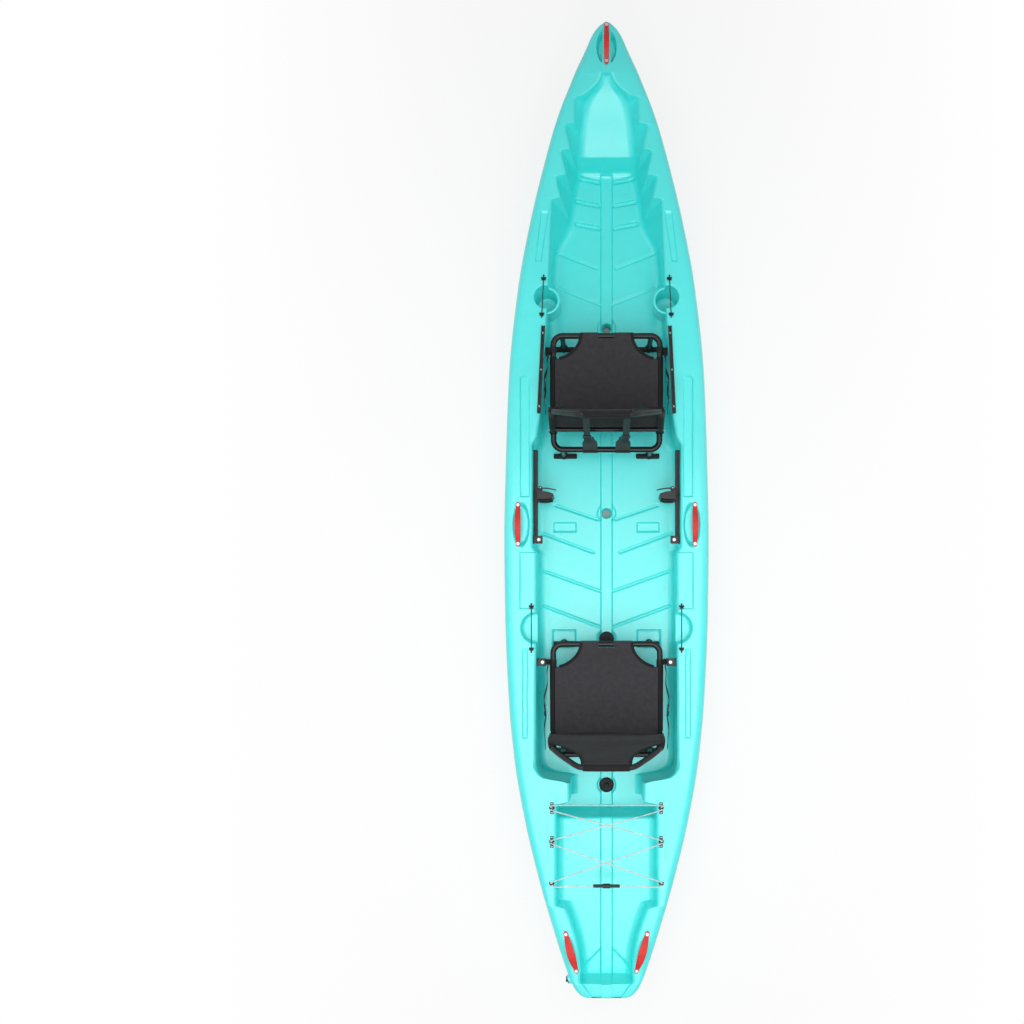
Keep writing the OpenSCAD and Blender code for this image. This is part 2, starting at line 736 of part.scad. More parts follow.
// Tank well cord: out of the lock, round the six eyes and back, with one crossing lifted over the other
cord_end = 52;
lock_l = 112;
lock_y = eye_ys[2] - 8;
turn_in = 14;
turn_slack = 2.5;
turn_gap = 13;
over = 4;
function eye_point(side, i) =
    [side * (eye_x - turn_slack), eye_ys[i], sheer_z(eye_ys[i]) + cord_lift];
function round_eye(side, i, from, to) =
    let (p = eye_point(side, i))
    [p + [-side * turn_in, from * turn_gap, 0], p, p + [-side * turn_in, to * turn_gap, 0]];
function crossing(i, lift) =
    (eye_point(1, i) + eye_point(-1, i + 1)) / 2 + [0, 0, lift];
lock_z = eye_point(1, 2)[2];
tank_route = concat(
    [[cord_end, lock_y, lock_z], [130, lock_y, lock_z]],
    round_eye(1, 2, -1, 1), [crossing(1, over)], round_eye(-1, 1, -1, 1), [crossing(0, over)],
    round_eye(1, 0, -1, 1), [[0, eye_ys[0] + turn_gap, eye_point(1, 0)[2]]], round_eye(-1, 0, 1, -1),
    [crossing(0, -over)], round_eye(1, 1, 1, -1), [crossing(1, -over)], round_eye(-1, 2, 1, -1),
    [[-130, lock_y, lock_z], [-cord_end, lock_y, lock_z]]
);
module tank_well_cord() color(cord_grey) tube(smooth_path(tank_route, 3), cord_r, 8, [0, 0, 1]);
module cord_lock() color(black) {
    translate([0, lock_y, lock_z]) rotate([0, 90, 0]) difference() {
        union() {
            cylinder(r = 7, h = lock_l, center = true);
            cylinder(r = 10, h = 32, center = true);
        }
        difference() {
            cylinder(r = cord_r + lay_gap, h = lock_l + 2, center = true);
            cylinder(r = 10, h = 2 * cord_end - 4, center = true);
        }
    }
}

// Frame seats: the base frame's plane is tilted about its front bar
module in_seat(i) {
    translate([0, seat_ys[i], seat_h]) rotate([seat_rake, 0, 0]) children();
}
function seat_point(i, p) = [
    p[0],
    seat_ys[i] + p[1] * cos(seat_rake) - p[2] * sin(seat_rake),
    seat_h + p[1] * sin(seat_rake) + p[2] * cos(seat_rake)
];
function hinge_at(i) = seat_point(i, [0, -hinge_back, hinge_up]);
module in_back(i) {
    translate(hinge_at(i)) rotate([recline[i], 0, 0]) children();
}
function back_point(i, p) = hinge_at(i) + [
    p[0],
    p[1] * cos(recline[i]) - p[2] * sin(recline[i]),
    p[1] * sin(recline[i]) + p[2] * cos(recline[i])
];
module frame_corner(x, y, turn) {
    translate([x, y, 0]) rotate([0, 0, turn]) rotate_extrude(angle = 90)
        translate([corner_r, 0]) circle(r = tube_r);
}
module base_frame(i) color(black) {
    w = seat_w / 2 - corner_r;
    in_seat(i) difference() {
        union() {
            for (y = [0, -seat_l]) translate([-w, y, 0]) rotate([0, 90, 0]) cylinder(r = tube_r, h = 2 * w);
            both_sides() {
                translate([seat_w / 2, -corner_r, 0]) rotate([90, 0, 0])
                    cylinder(r = tube_r, h = seat_l - 2 * corner_r);
                frame_corner(w, -corner_r, 0);
                frame_corner(w, -seat_l + corner_r, -90);
                for (x = [hinge_inner, hinge_outer - hinge_plate_t])
                    translate([x, -hinge_back, 0]) rotate([90, 0, 90]) linear_extrude(hinge_plate_t) {
                        translate([-hinge_plate_r, -4]) square([2 * hinge_plate_r, hinge_up + 4]);
                        translate([0, hinge_up]) circle(r = hinge_plate_r);
                    }
            }
        }
        translate([-seat_w, -hinge_back, hinge_up]) rotate([0, 90, 0])
            cylinder(r = hinge_pin_r, h = 2 * seat_w);
    }
    for (y = [0, -seat_l])
        both_sides() {
            top = seat_point(i, [leg_x, y, 0]);
            translate([leg_x, top[1], floor_h + 6]) cylinder(r = leg_r, h = top[2] - floor_h - 6);
        }
}
module foot_caps(i) color(black) {
    for (y = [0, -seat_l])
        both_sides() translate([leg_x, seat_point(i, [0, y, 0])[1], floor_h]) difference() {
            cylinder(r = foot_r, h = foot_h);
            translate([0, 0, 6]) cylinder(r = leg_r, h = foot_h);
        }
}

// Base sling: cut away at the front corners, sagging between the tubes
sling_edge = seat_w / 2 + tube_r;
sling_rear = -hinge_back + 18;
sling_front = 12;
neck_w = 113;
cut_l = 112;
function sling_w(y) =
    let (u = min(max((sling_front - y) / cut_l, 0), 1))
    neck_w + (sling_edge - neck_w) * (1 - sqrt(1 - u * u));
function sling_sink(x, y) =
    let (
        u = min(abs(x) / (seat_w / 2 - tube_r - 6), 1),
        v = min(max((-tube_r - 4 - y) / 120, 0), 1)
    )
    sling_sag * (1 - u * u) * v * (2 - v);
sling_rows = [
    sling_rear, -330, -270, -210, -150, sling_front - cut_l, sling_front - cut_l + 2, -90, -74, -58, -36, -16, 0,
    sling_front
];
sling_cols = [-1, -0.96, -0.85, -0.65, -0.4, -0.14, 0.14, 0.4, 0.65, 0.85, 0.96, 1];
module base_sling(i) color(charcoal) {
    grid = [
        for (y = sling_rows) [
            for (u = sling_cols)
                let (x = u * sling_w(y)) [x, y, tube_r + 0.5 - sling_sink(x, y)]
        ]
    ];
    in_seat(i) sheet(grid, [0, 0, sling_t]);
}

// Back frame: two bent side tubes, a top bar, a lower bar and a hinge eye on each side
lower_bar_y = -8;
lower_bar_z = 34;
lower_bar_r = 9;
module back_frame(i) color(black) {
    port = [for (p = back_path) [-p[0], p[1], p[2]]];
    whole = concat(back_path, [for (k = [len(port) - 2:-1:0]) port[k]]);
    in_back(i) difference() {
        union() {
            tube(smooth_path(whole, 2), tube_r - 1, 12, [0, 1, 0]);
            translate([-seat_w / 2, lower_bar_y, lower_bar_z]) rotate([0, 90, 0])
                cylinder(r = lower_bar_r, h = seat_w);
            both_sides() translate([seat_w / 2 - hinge_eye_w / 2, 0, 0]) rotate([0, 90, 0])
                cylinder(r = hinge_eye_r, h = hinge_eye_w);
        }
        translate([-seat_w, 0, 0]) rotate([0, 90, 0])
            cylinder(r = hinge_pin_r + running_gap, h = 2 * seat_w);
    }
}
function back_y(z) = curve(z, [for (p = back_path) [p[2], p[1]]]);
back_rows = [46, 90, 130, 170, 210, 245, 262, 290, 320, 350, 380, 404];
back_neck = 100;
function back_sling_w(z) =
    let (u = min(max((z - 250) / 150, 0), 1), edge = sling_edge - 4)
    edge - (edge - back_neck) * (1 - pow(1 - u, 2.4));
module back_sling(i) color(charcoal) {
    grid = [
        for (z = back_rows) [
            for (u = sling_cols)
                let (w = back_sling_w(z)) [u * w, back_y(min(z, 400)) + tube_r + 0.5 + sling_t, z]
        ]
    ];
    in_back(i) sheet(grid, [0, -sling_t, 0]);
}
module hinge_bolts(i) color(steel) {
    grip = hinge_outer - hinge_inner;
    in_seat(i) both_sides() translate([hinge_inner, -hinge_back, hinge_up]) rotate([0, 90, 0]) {
        cylinder(r = hinge_pin_r, h = grip);
        translate([0, 0, grip]) cylinder(r = bolt_head_r, h = 3);
        translate([0, 0, -5]) cylinder(r = bolt_head_r, h = 5, $fn = 6);
    }
}

// Recline straps beside the seat, from the base frame to the back frame
strap_low = [strap_x, -72, 4];
strap_high = [strap_x, 2, 250];
strap_tail = 10;
buckle_l = 38;
function strap_ends(i) = [seat_point(i, strap_low), back_point(i, strap_high)];
module along_strap(i) {
    ends = strap_ends(i);
    run = ends[1] - ends[0];
    both_sides() translate(ends[0]) rotate([atan2(run[2], run[1]), 0, 0]) children();
}
function strap_l(i) = norm(strap_ends(i)[1] - strap_ends(i)[0]);
module recline_straps(i) color(black) {
    along_strap(i) translate([-strap_t / 2, -strap_tail, -strap_w / 2])
        cube([strap_t, strap_l(i) + 2 * strap_tail, strap_w]);
}
module recline_buckles(i) color(black) {
    along_strap(i) translate([0, strap_l(i) * 0.58, 0]) difference() {
        translate([-strap_t / 2 - 1.6, -buckle_l / 2, -strap_w / 2 - 4])
            cube([strap_t + 5, buckle_l, strap_w + 8]);
        translate([-strap_t / 2 - lay_gap, -buckle_l, -strap_w / 2 - lay_gap])
            cube([strap_t + 2 * lay_gap, 2 * buckle_l, strap_w + 2 * lay_gap]);
    }
}

// Straps behind the back, from its top bar to just over the base frame's rear bar
back_strap_top = [-60 - tube_r - 1, 392];
back_strap_low = [-76, -13];
back_buckle_share = 0.42;
module behind_back(i) {
    run = back_strap_top - back_strap_low;
    in_back(i) for (side = [-1, 1])
        translate([side * back_strap_x, back_strap_low[0], back_strap_low[1]])
            rotate([atan2(run[1], run[0]) - 90, 0, 0]) children();
}
back_strap_l = norm(back_strap_top - back_strap_low);
module back_straps(i) color(black) {
    behind_back(i) translate([-back_strap_w / 2, -strap_t, -8])
        cube([back_strap_w, strap_t, back_strap_l + 12]);
}
module back_buckles(i) color(black) {
    behind_back(i) translate([0, -strap_t / 2, back_strap_l * back_buckle_share]) difference() {
        translate([-back_strap_w / 2 - 5, -5, -20]) cube([back_strap_w + 10, 8, 40]);
        translate([-back_strap_w / 2 - lay_gap, -strap_t / 2 - lay_gap, -40])
            cube([back_strap_w + 2 * lay_gap, strap_t + 2 * lay_gap, 80]);
    }
}

// Webbing loops that tie the base frame to its hold-down brackets
module hold_loops(i) color(black) {
    y = hold_down_ys[i == 0 ? 0 : 2];
    tail = well_w(y) - 4 - seat_w / 2;
    tube_y = (y - seat_ys[i]) / cos(seat_rake);
    loop_r = tube_r + lay_gap;
    in_seat(i) both_sides() translate([seat_w / 2, tube_y + strap_w / 2, 0]) rotate([90, 0, 0])
        linear_extrude(strap_w) difference() {
            union() {
                circle(r = loop_r + strap_t);
                translate([0, -loop_r - strap_t]) square([min(tail, 34), strap_t]);
            }
            circle(r = loop_r);
        }
}

module front_seat_base_frame() base_frame(0);
module front_seat_base_sling() base_sling(0);
module front_seat_foot_caps() foot_caps(0);
module front_seat_hold_loops() hold_loops(0);
module front_seat_back_frame() back_frame(0);
module front_seat_back_sling() back_sling(0);
module front_seat_hinge_bolts() hinge_bolts(0);
module front_seat_recline_straps() recline_straps(0);
module front_seat_recline_buckles() recline_buckles(0);
module front_seat_back_straps() back_straps(0);
module front_seat_back_buckles() back_buckles(0);
module rear_seat_base_frame() base_frame(1);
module rear_seat_base_sling() base_sling(1);
module rear_seat_foot_caps() foot_caps(1);
module rear_seat_hold_loops() hold_loops(1);
module rear_seat_back_frame() back_frame(1);
module rear_seat_back_sling() back_sling(1);
module rear_seat_hinge_bolts() hinge_bolts(1);
module rear_seat_recline_straps() recline_straps(1);
module rear_seat_recline_buckles() recline_buckles(1);
module rear_seat_back_straps() back_straps(1);
module rear_seat_back_buckles() back_buckles(1);

hull_shell();
foam_block_bow();
foam_block_stern();
bow_handle();
port_side_handle();
starboard_side_handle();
port_stern_handle();
starboard_stern_handle();
handle_bolts();
port_track();
starboard_track();
track_screws();
port_foot_rail();
starboard_foot_rail();
rail_screws();
port_foot_pedal();
starboard_foot_pedal();
port_pedal_trigger();
starboard_pedal_trigger();
port_trigger_pin();
starboard_trigger_pin();
middle_scupper_plug();
rear_scupper_plug();
drain_plug();
drain_gasket();
front_hold_downs();
solo_hold_downs();
rear_hold_downs();
hold_down_bolts();
keeper_pad_eyes();
front_keeper_cords();
rear_keeper_cords();
tank_well_pad_eyes();
pad_eye_rivets();
tank_well_cord();
cord_lock();
front_seat_base_frame();
front_seat_base_sling();
front_seat_foot_caps();
front_seat_hold_loops();
front_seat_back_frame();
front_seat_back_sling();
front_seat_hinge_bolts();
front_seat_recline_straps();
front_seat_recline_buckles();
front_seat_back_straps();
front_seat_back_buckles();
rear_seat_base_frame();
rear_seat_base_sling();
rear_seat_foot_caps();
rear_seat_hold_loops();
rear_seat_back_frame();
rear_seat_back_sling();
rear_seat_hinge_bolts();
rear_seat_recline_straps();
rear_seat_recline_buckles();
rear_seat_back_straps();
rear_seat_back_buckles();
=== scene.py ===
import math

import bpy
import numpy as np
from bpy.props import FloatProperty, FloatVectorProperty, PointerProperty
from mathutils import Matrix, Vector


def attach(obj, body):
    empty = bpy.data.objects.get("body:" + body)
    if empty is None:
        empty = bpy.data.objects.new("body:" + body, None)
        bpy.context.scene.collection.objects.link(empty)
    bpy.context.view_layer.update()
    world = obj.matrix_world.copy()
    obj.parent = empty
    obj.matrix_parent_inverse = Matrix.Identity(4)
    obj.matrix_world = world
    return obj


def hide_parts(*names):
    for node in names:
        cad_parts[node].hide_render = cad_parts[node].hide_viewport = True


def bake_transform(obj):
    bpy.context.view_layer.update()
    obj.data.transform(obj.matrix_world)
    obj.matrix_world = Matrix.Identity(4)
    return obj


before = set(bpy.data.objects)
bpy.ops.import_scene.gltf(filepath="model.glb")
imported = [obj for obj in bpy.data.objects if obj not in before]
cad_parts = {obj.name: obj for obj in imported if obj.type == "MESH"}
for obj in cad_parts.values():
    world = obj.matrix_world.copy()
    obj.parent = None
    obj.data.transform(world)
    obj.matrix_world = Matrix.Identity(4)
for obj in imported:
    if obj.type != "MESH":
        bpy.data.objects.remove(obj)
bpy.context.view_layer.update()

bl_info = {
    "name": "Tandem kayak",
    "version": (1, 0, 0),
    "blender": (4, 5, 0),
    "location": "View3D > Sidebar > Kayak",
    "description": "Dresses a sit-on-top tandem kayak: moulded hull, frame seats, cords and deck fittings",
    "category": "Object",
}

MM = 0.001
SIDES = {"port": -1, "starboard": 1}
SEATS = ("front", "rear")
ACROSS = (1, 0, 0)
FORWARD = (0, 1, 0)
UP = (0, 0, 1)


# Settings that a user would change

def number(name, description, default, **limits):
    return FloatProperty(name=name, description=description, default=default, **limits)


def colour(name, description, default):
    return FloatVectorProperty(
        name=name, description=description, default=default, size=3, min=0, max=1, subtype="COLOR"
    )


def length(name, description, default):
    return number(name, description, default, min=0, unit="LENGTH")


class KayakHullSettings(bpy.types.PropertyGroup):
    aqua: colour("Hull colour", "Colour of the moulded polyethylene", (0.060, 0.860, 0.840))
    aqua_deep: colour("Deep colour", "Darker cloud in the moulded colour", (0.045, 0.800, 0.780))
    roughness: number("Satin", "Roughness of the moulded skin", 0.42, min=0, max=1, subtype="FACTOR")
    grain: length("Grain", "Size of the moulded skin's grain", 0.0016)
    station_step: length("Station step", "Distance between the hull's cross sections", 0.007)


class KayakSeatSettings(bpy.types.PropertyGroup):
    fabric: colour("Sling colour", "Colour of the seats' woven slings", (0.040, 0.039, 0.045))
    # Painted shade: the backs use the seats' own sling cloth, set darker here for the light the upright backs
    # catch
    back_fabric_painted_shade: colour("Back colour with painted shade", "Colour of the backs' woven slings", (0.016, 0.017, 0.019))
    binding: colour("Binding colour", "Colour of the sewn edge binding", (0.007, 0.007, 0.008))
    tube: colour("Tube colour", "Powder coat of the seat tubes", (0.008, 0.008, 0.009))
    webbing: colour("Webbing colour", "Colour of straps and loops", (0.009, 0.009, 0.010))
    thread: length("Thread pitch", "Distance between the sling's threads", 0.0016)
    cloth: length("Cloth thickness", "Thickness of the sling's cloth", 0.0024)


class KayakFittingSettings(bpy.types.PropertyGroup):
    handle_red: colour("Handle colour", "Colour of the carry handles", (0.78, 0.040, 0.034))
    black: colour("Fitting colour", "Colour of moulded nylon fittings", (0.017, 0.017, 0.019))
    rubber: colour("Plug colour", "Colour of the rubber plugs", (0.010, 0.010, 0.011))
    steel: colour("Steel colour", "Colour of the stainless fasteners", (0.50, 0.50, 0.51))
    foam: colour("Foam colour", "Colour of the foam blocks", (0.80, 0.80, 0.77))
    edge_round: length("Edge rounding", "Rounding of the moulded fittings' edges", 0.0012)


class KayakCordSettings(bpy.types.PropertyGroup):
    tank_colour: colour("Tank cord colour", "Colour of the lacing over the tank well", (0.70, 0.73, 0.73))
    keeper_colour: colour("Keeper colour", "Colour of the paddle keeper cords", (0.014, 0.014, 0.015))
    tank_diameter: length("Tank cord diameter", "Diameter of the tank well cord", 0.005)
    keeper_diameter: length("Keeper diameter", "Diameter of the paddle keeper cords", 0.004)


class KayakStageSettings(bpy.types.PropertyGroup):
    camera_height: length("Camera height", "Height of the camera over the floor", 4.8)
    camera_y: number("Camera place", "Place of the camera along the hull", -0.45, unit="LENGTH")
    lens: number("Lens", "Focal length in millimetres", 36.95, min=1)
    shift_x: number("Shift across", "Sideways shift of the frame", -0.0923)
    shift_y: number("Shift along", "Shift of the frame towards the bow", 0.1042)
    key_power: number("Key light", "Power of the key light", 84, min=0, unit="POWER")
    fill_power: number("Fill light", "Power of each side light", 17, min=0, unit="POWER")
    room_light: number("Room light", "Strength of the white room", 0.37, min=0)


# Shapes: a shape is (points in millimetres, faces as lists of point numbers)

TUBE_EASE_SHARE = 0.35
TUBE_EASE_MOST = 2.0
SHARP_ANGLE = 38
HULL_SHARP_ANGLE = 42
ROUNDED_ANGLE = 40
WELD_GAP = 0.00002


def join(shapes):
    points, faces, start = [], [], 0
    for p, f in shapes:
        points.append(np.asarray(p, float))
        faces += [[start + i for i in face] for face in f]
        start += len(p)
    return np.concatenate(points), faces


def mirrored(shape):
    points, faces = shape
    return points * (-1, 1, 1), [face[::-1] for face in faces]


def on_side(shape, side):
    return shape if side > 0 else mirrored(shape)


def both_sides(shape):
    return join([shape, mirrored(shape)])


def moved(shape, change):
    """A shape with every point put through change, a function of an (n, 3) array."""
    return change(np.asarray(shape[0], float)), shape[1]


def unit(v):
    return v / np.maximum(np.linalg.norm(v, axis=-1, keepdims=True), 1e-9)


def smooth_path(points, steps):
    """Catmull-Rom through the points, with the given steps in each stretch."""
    p = np.asarray(points, float)
    p = np.concatenate([[2 * p[0] - p[1]], p, [2 * p[-1] - p[-2]]])
    s = (np.arange(steps) / steps)[:, None]
    out = [
        0.5 * (2 * b + (c - a) * s + (2 * a - 5 * b + 4 * c - d) * s ** 2 + (3 * b - a - 3 * c + d) * s ** 3)
        for a, b, c, d in zip(p, p[1:], p[2:], p[3:])
    ]
    return np.concatenate(out + [p[-2:-1]])


def circle(radius, sides):
    turn = np.arange(sides) * 2 * math.pi / sides
    return np.stack([radius * np.cos(turn), radius * np.sin(turn)], 1)


def rounded_rectangle(width, thick, radius, corner_steps=4):
    """Outline of a flat bar's section, wide along u and thick along v."""
    radius = min(radius, 0.499 * width, 0.499 * thick)
    out = []
    for k, (su, sv) in enumerate(((1, 1), (-1, 1), (-1, -1), (1, -1))):
        for j in range(corner_steps + 1):
            turn = (k + j / corner_steps) * math.pi / 2
            out.append((
                su * (width / 2 - radius) + radius * math.cos(turn),
                sv * (thick / 2 - radius) + radius * math.sin(turn),
            ))
    return np.array(out)


def sweep(path, profile, face=UP, wide=None, closed=False):
    """A profile carried along a path. face is the way its v side looks, and wide scales u at each point."""
    path = np.asarray(path, float)
    n = len(path)
    if closed:
        along = np.roll(path, -1, 0) - np.roll(path, 1, 0)
    else:
        along = np.gradient(path, axis=0)
    along = unit(along)
    u_axis = unit(np.cross(along, np.broadcast_to(np.asarray(face, float), along.shape)))
    v_axis = np.cross(u_axis, along)
    scale = np.ones(n) if wide is None else np.asarray(wide, float)
    points = (
        path[:, None]
        + u_axis[:, None] * (profile[None, :, :1] * scale[:, None, None])
        + v_axis[:, None] * profile[None, :, 1:]
    )
    m = len(profile)
    faces = [
        [j * m + i, j * m + (i + 1) % m, (j + 1) % n * m + (i + 1) % m, (j + 1) % n * m + i]
        for j in range(n if closed else n - 1)
        for i in range(m)
    ]
    if not closed:
        faces += [list(range(m))[::-1], list(range((n - 1) * m, n * m))]
    return points.reshape(-1, 3), [face[::-1] for face in faces]


def tube(path, radius, sides=20, face=UP):
    """A round tube with eased ends."""
    path = np.asarray(path, float)
    ease = min(TUBE_EASE_SHARE * radius, TUBE_EASE_MOST)
    first, last = unit(path[1] - path[0]) * ease, unit(path[-1] - path[-2]) * ease
    path = np.concatenate([path[:1], [path[0] + first], path[1:-1], [path[-1] - last], path[-1:]])
    points, faces = sweep(path, circle(radius, sides), face)
    rows = points.reshape(len(path), sides, 3)
    for end in (0, -1):
        rows[end] += (path[end] - rows[end]) * ease / radius
    return rows.reshape(-1, 3), faces


def bar(a, b, width, thick, radius=1.0):
    """A straight bar from a to b, flat side up, with rounded edges and eased ends."""
    a, b = np.asarray(a, float), np.asarray(b, float)
    ease = min(radius, 0.3 * np.linalg.norm(b - a))
    step = unit(b - a) * ease
    profile = rounded_rectangle(width, thick, radius)
    points, faces = sweep([a, a + step, b - step, b], profile)
    rows = points.reshape(4, -1, 3)
    for end, centre in ((0, a), (3, b)):
        rows[end] += (centre - rows[end]) * (ease / max(width, thick))
    return rows.reshape(-1, 3), faces


def lathe(profile, sides=48, centre=(0, 0, 0)):
    """A profile of (radius, height) turned about a vertical line; it starts and ends on the axis."""
    points, faces, rows = [], [], []
    for r, z in profile:
        if r < 1e-6:
            rows.append([len(points)])
            points.append((0, 0, z))
        else:
            rows.append(list(range(len(points), len(points) + sides)))
            points += [(x, y, z) for x, y in circle(r, sides)]
    for low, high in zip(rows, rows[1:]):
        for i in range(sides):
            j = (i + 1) % sides
            if len(low) == 1:
                faces.append([low[0], high[j], high[i]])
            elif len(high) == 1:
                faces.append([low[i], low[j], high[0]])
            else:
                faces.append([low[i], low[j], high[j], high[i]])
    return np.array(points) + centre, faces


def thick_sheet(grid, thick):
    """A closed cloth of even thickness; the grid is its outer face and the cloth lies behind it."""
    rows, cols = grid.shape[:2]
    down = np.gradient(grid, axis=0)
    side = np.gradient(grid, axis=1)
    normal = unit(np.cross(side, down))
    points = np.concatenate([grid.reshape(-1, 3), (grid - normal * thick).reshape(-1, 3)])
    back = rows * cols

    def quad(j, i):
        return [j * cols + i, j * cols + i + 1, (j + 1) * cols + i + 1, (j + 1) * cols + i]

    front = [quad(j, i) for j in range(rows - 1) for i in range(cols - 1)]
    faces = front + [[back + k for k in face[::-1]] for face in front]
    rim = (
        [(0, i) for i in range(cols - 1)]
        + [(j, cols - 1) for j in range(rows - 1)]
        + [(rows - 1, i) for i in range(cols - 1, 0, -1)]
        + [(j, 0) for j in range(rows - 1, 0, -1)]
    )
    edge = [j * cols + i for j, i in rim]
    for a, b in zip(edge, edge[1:] + edge[:1]):
        faces.append([b, a, back + a, back + b])
    return points, faces


def shade_smooth(mesh, sharp):
    """Smooth shading with the edges sharper than an angle kept."""
    mesh.polygons.foreach_set("use_smooth", [True] * len(mesh.polygons))
    mesh.set_sharp_from_angle(angle=math.radians(sharp))


def mesh_object(name, shape, finish=None):
    points, faces = shape
    mesh = bpy.data.meshes.new(name)
    mesh.from_pydata((np.asarray(points) * MM).tolist(), [], faces)
    mesh.validate()
    shade_smooth(mesh, SHARP_ANGLE)
    if finish:
        mesh.materials.append(finish)
    made = bpy.data.objects.new(name, mesh)
    bpy.context.scene.collection.objects.link(made)
    return made


def piece(name, shape, body, finish, replaced=()):
    """A piece of the kayak that rides on a body and stands for the CAD nodes in replaced."""
    made = mesh_object(name, shape, finish)
    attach(made, body)
    if replaced:
        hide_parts(*replaced)
    return made


def dress(node, finish, rounding=0.0):
    """Gives a CAD node its finish and eases its edges."""
    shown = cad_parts[node]
    shown.data.materials.clear()
    shown.data.materials.append(finish)
    if rounding:
        shown.modifiers.new("Weld", "WELD").merge_threshold = WELD_GAP
        ease = shown.modifiers.new("Edge rounding", "BEVEL")
        ease.width = rounding
        ease.segments = 2
        ease.limit_method = "ANGLE"
        ease.angle_limit = math.radians(ROUNDED_ANGLE)
        ease.harden_normals = True


# Shader node groups

def add(tree, kind, inputs=None, **settings):
    """Adds a node, sets its settings, and fills its inputs with values or links."""
    node = tree.nodes.new(kind)
    for key, value in settings.items():
        setattr(node, key, value)
    for key, value in (inputs or {}).items():
        if isinstance(value, bpy.types.NodeSocket):
            tree.links.new(value, node.inputs[key])
        else:
            node.inputs[key].default_value = value
    return node


def math_node(tree, operation, a, b=0.0):
    return add(tree, "ShaderNodeMath", {0: a, 1: b}, operation=operation).outputs[0]


def times(tree, a, b):
    return math_node(tree, "MULTIPLY", a, b)


def plus(tree, a, b):
    return math_node(tree, "ADD", a, b)


def mix_colour(tree, share, a, b):
    return add(tree, "ShaderNodeMix", {0: share, 6: a, 7: b}, data_type="RGBA").outputs[2]


def ramp(tree, value, low, high, to_low=0.0, to_high=1.0):
    ends = {"From Min": low, "From Max": high, "To Min": to_low, "To Max": to_high}
    return add(tree, "ShaderNodeMapRange", {"Value": value, **ends}).outputs["Result"]


def own_place(tree):
    return add(tree, "ShaderNodeTexCoord").outputs["Object"]


def noise(tree, place, scale, detail, roughness=0.5):
    given = {"Vector": place, "Scale": scale, "Detail": detail, "Roughness": roughness}
    return add(tree, "ShaderNodeTexNoise", given).outputs[0]


def start_group(name, inputs, outputs):
    """A node group with named sockets: inputs as (name, kind, default), outputs as (name, kind)."""
    group = bpy.data.node_groups.new(name, "ShaderNodeTree")
    for key, kind, default in inputs:
        made = group.interface.new_socket(key, in_out="INPUT", socket_type="NodeSocket" + kind)
        if default is not None:
            made.default_value = default
    for key, kind in outputs:
        group.interface.new_socket(key, in_out="OUTPUT", socket_type="NodeSocket" + kind)
    return group, group.nodes.new("NodeGroupInput").outputs, group.nodes.new("NodeGroupOutput").inputs


def cloud_group():
    """Soft clouds in a colour, as in moulded or dyed material, and a matching roughness."""
    group, given, out = start_group(
        "Clouded colour",
        [("Light", "Color", None), ("Deep", "Color", None), ("Size", "Float", 0.1),
         ("Roughness", "Float", 0.5), ("Roughness Spread", "Float", 0.1)],
        [("Color", "Color"), ("Roughness", "Float")],
    )
    place = own_place(group)
    scale = math_node(group, "DIVIDE", 1.0, given["Size"])
    broad = noise(group, place, scale, 4.0, 0.55)
    fine = noise(group, place, times(group, scale, 9.0), 3.0)
    share = ramp(group, plus(group, times(group, broad, 0.75), times(group, fine, 0.25)), 0.34, 0.66)
    group.links.new(mix_colour(group, share, given["Deep"], given["Light"]), out["Color"])
    spread = times(group, math_node(group, "SUBTRACT", share, 0.5), given["Roughness Spread"])
    group.links.new(plus(group, given["Roughness"], spread), out["Roughness"])
    return group


def grain_group():
    """Fine moulded grain with a slow ripple under it, as a height."""
    group, given, out = start_group(
        "Moulded grain", [("Size", "Float", 0.002), ("Ripple", "Float", 0.3)], [("Height", "Float")]
    )
    place = own_place(group)
    scale = math_node(group, "DIVIDE", 1.0, given["Size"])
    pebble = add(group, "ShaderNodeTexVoronoi", {"Vector": place, "Scale": scale}, feature="SMOOTH_F1")
    ripple = noise(group, place, times(group, scale, 0.06), 2.0)
    group.links.new(plus(group, pebble.outputs[0], times(group, ripple, given["Ripple"])), out["Height"])
    return group


def weave_group():
    """Over and under threads of a plain weave: a height, and a mask of the gaps between threads."""
    group, given, out = start_group(
        "Plain weave", [("Vector", "Vector", None), ("Pitch", "Float", 0.0016)],
        [("Height", "Float"), ("Gaps", "Float")],
    )
    apart = add(group, "ShaderNodeSeparateXYZ", {0: given["Vector"]}).outputs
    turn = math_node(group, "DIVIDE", math.pi, given["Pitch"])
    waves = [math_node(group, "SINE", times(group, apart[k], turn)) for k in (0, 1)]
    warp, weft = (math_node(group, "ABSOLUTE", wave) for wave in waves)
    over = ramp(group, times(group, *waves), -0.25, 0.25)
    under = math_node(group, "SUBTRACT", 1.0, over)
    group.links.new(plus(group, times(group, warp, over), times(group, weft, under)), out["Height"])
    group.links.new(ramp(group, math_node(group, "MAXIMUM", warp, weft), 0.75, 0.35), out["Gaps"])
    return group


def scuff_group():
    """Thin scattered scratches and rubbed spots, as a mask."""
    group, given, out = start_group(
        "Scuffs", [("Size", "Float", 0.03), ("Amount", "Float", 0.3)], [("Mask", "Float")]
    )
    place = own_place(group)
    scale = math_node(group, "DIVIDE", 1.0, given["Size"])
    patches = ramp(group, noise(group, place, scale, 2.0), 0.48, 0.62)
    drawn = {"Vector": place, "Scale": (6.0, 1.0, 3.0), "Rotation": (0.3, 0.2, 0.7)}
    hair = noise(group, add(group, "ShaderNodeMapping", drawn).outputs[0], times(group, scale, 4.0), 5.0)
    marks = times(group, ramp(group, hair, 0.60, 0.68), patches)
    group.links.new(times(group, marks, given["Amount"]), out["Mask"])
    return group


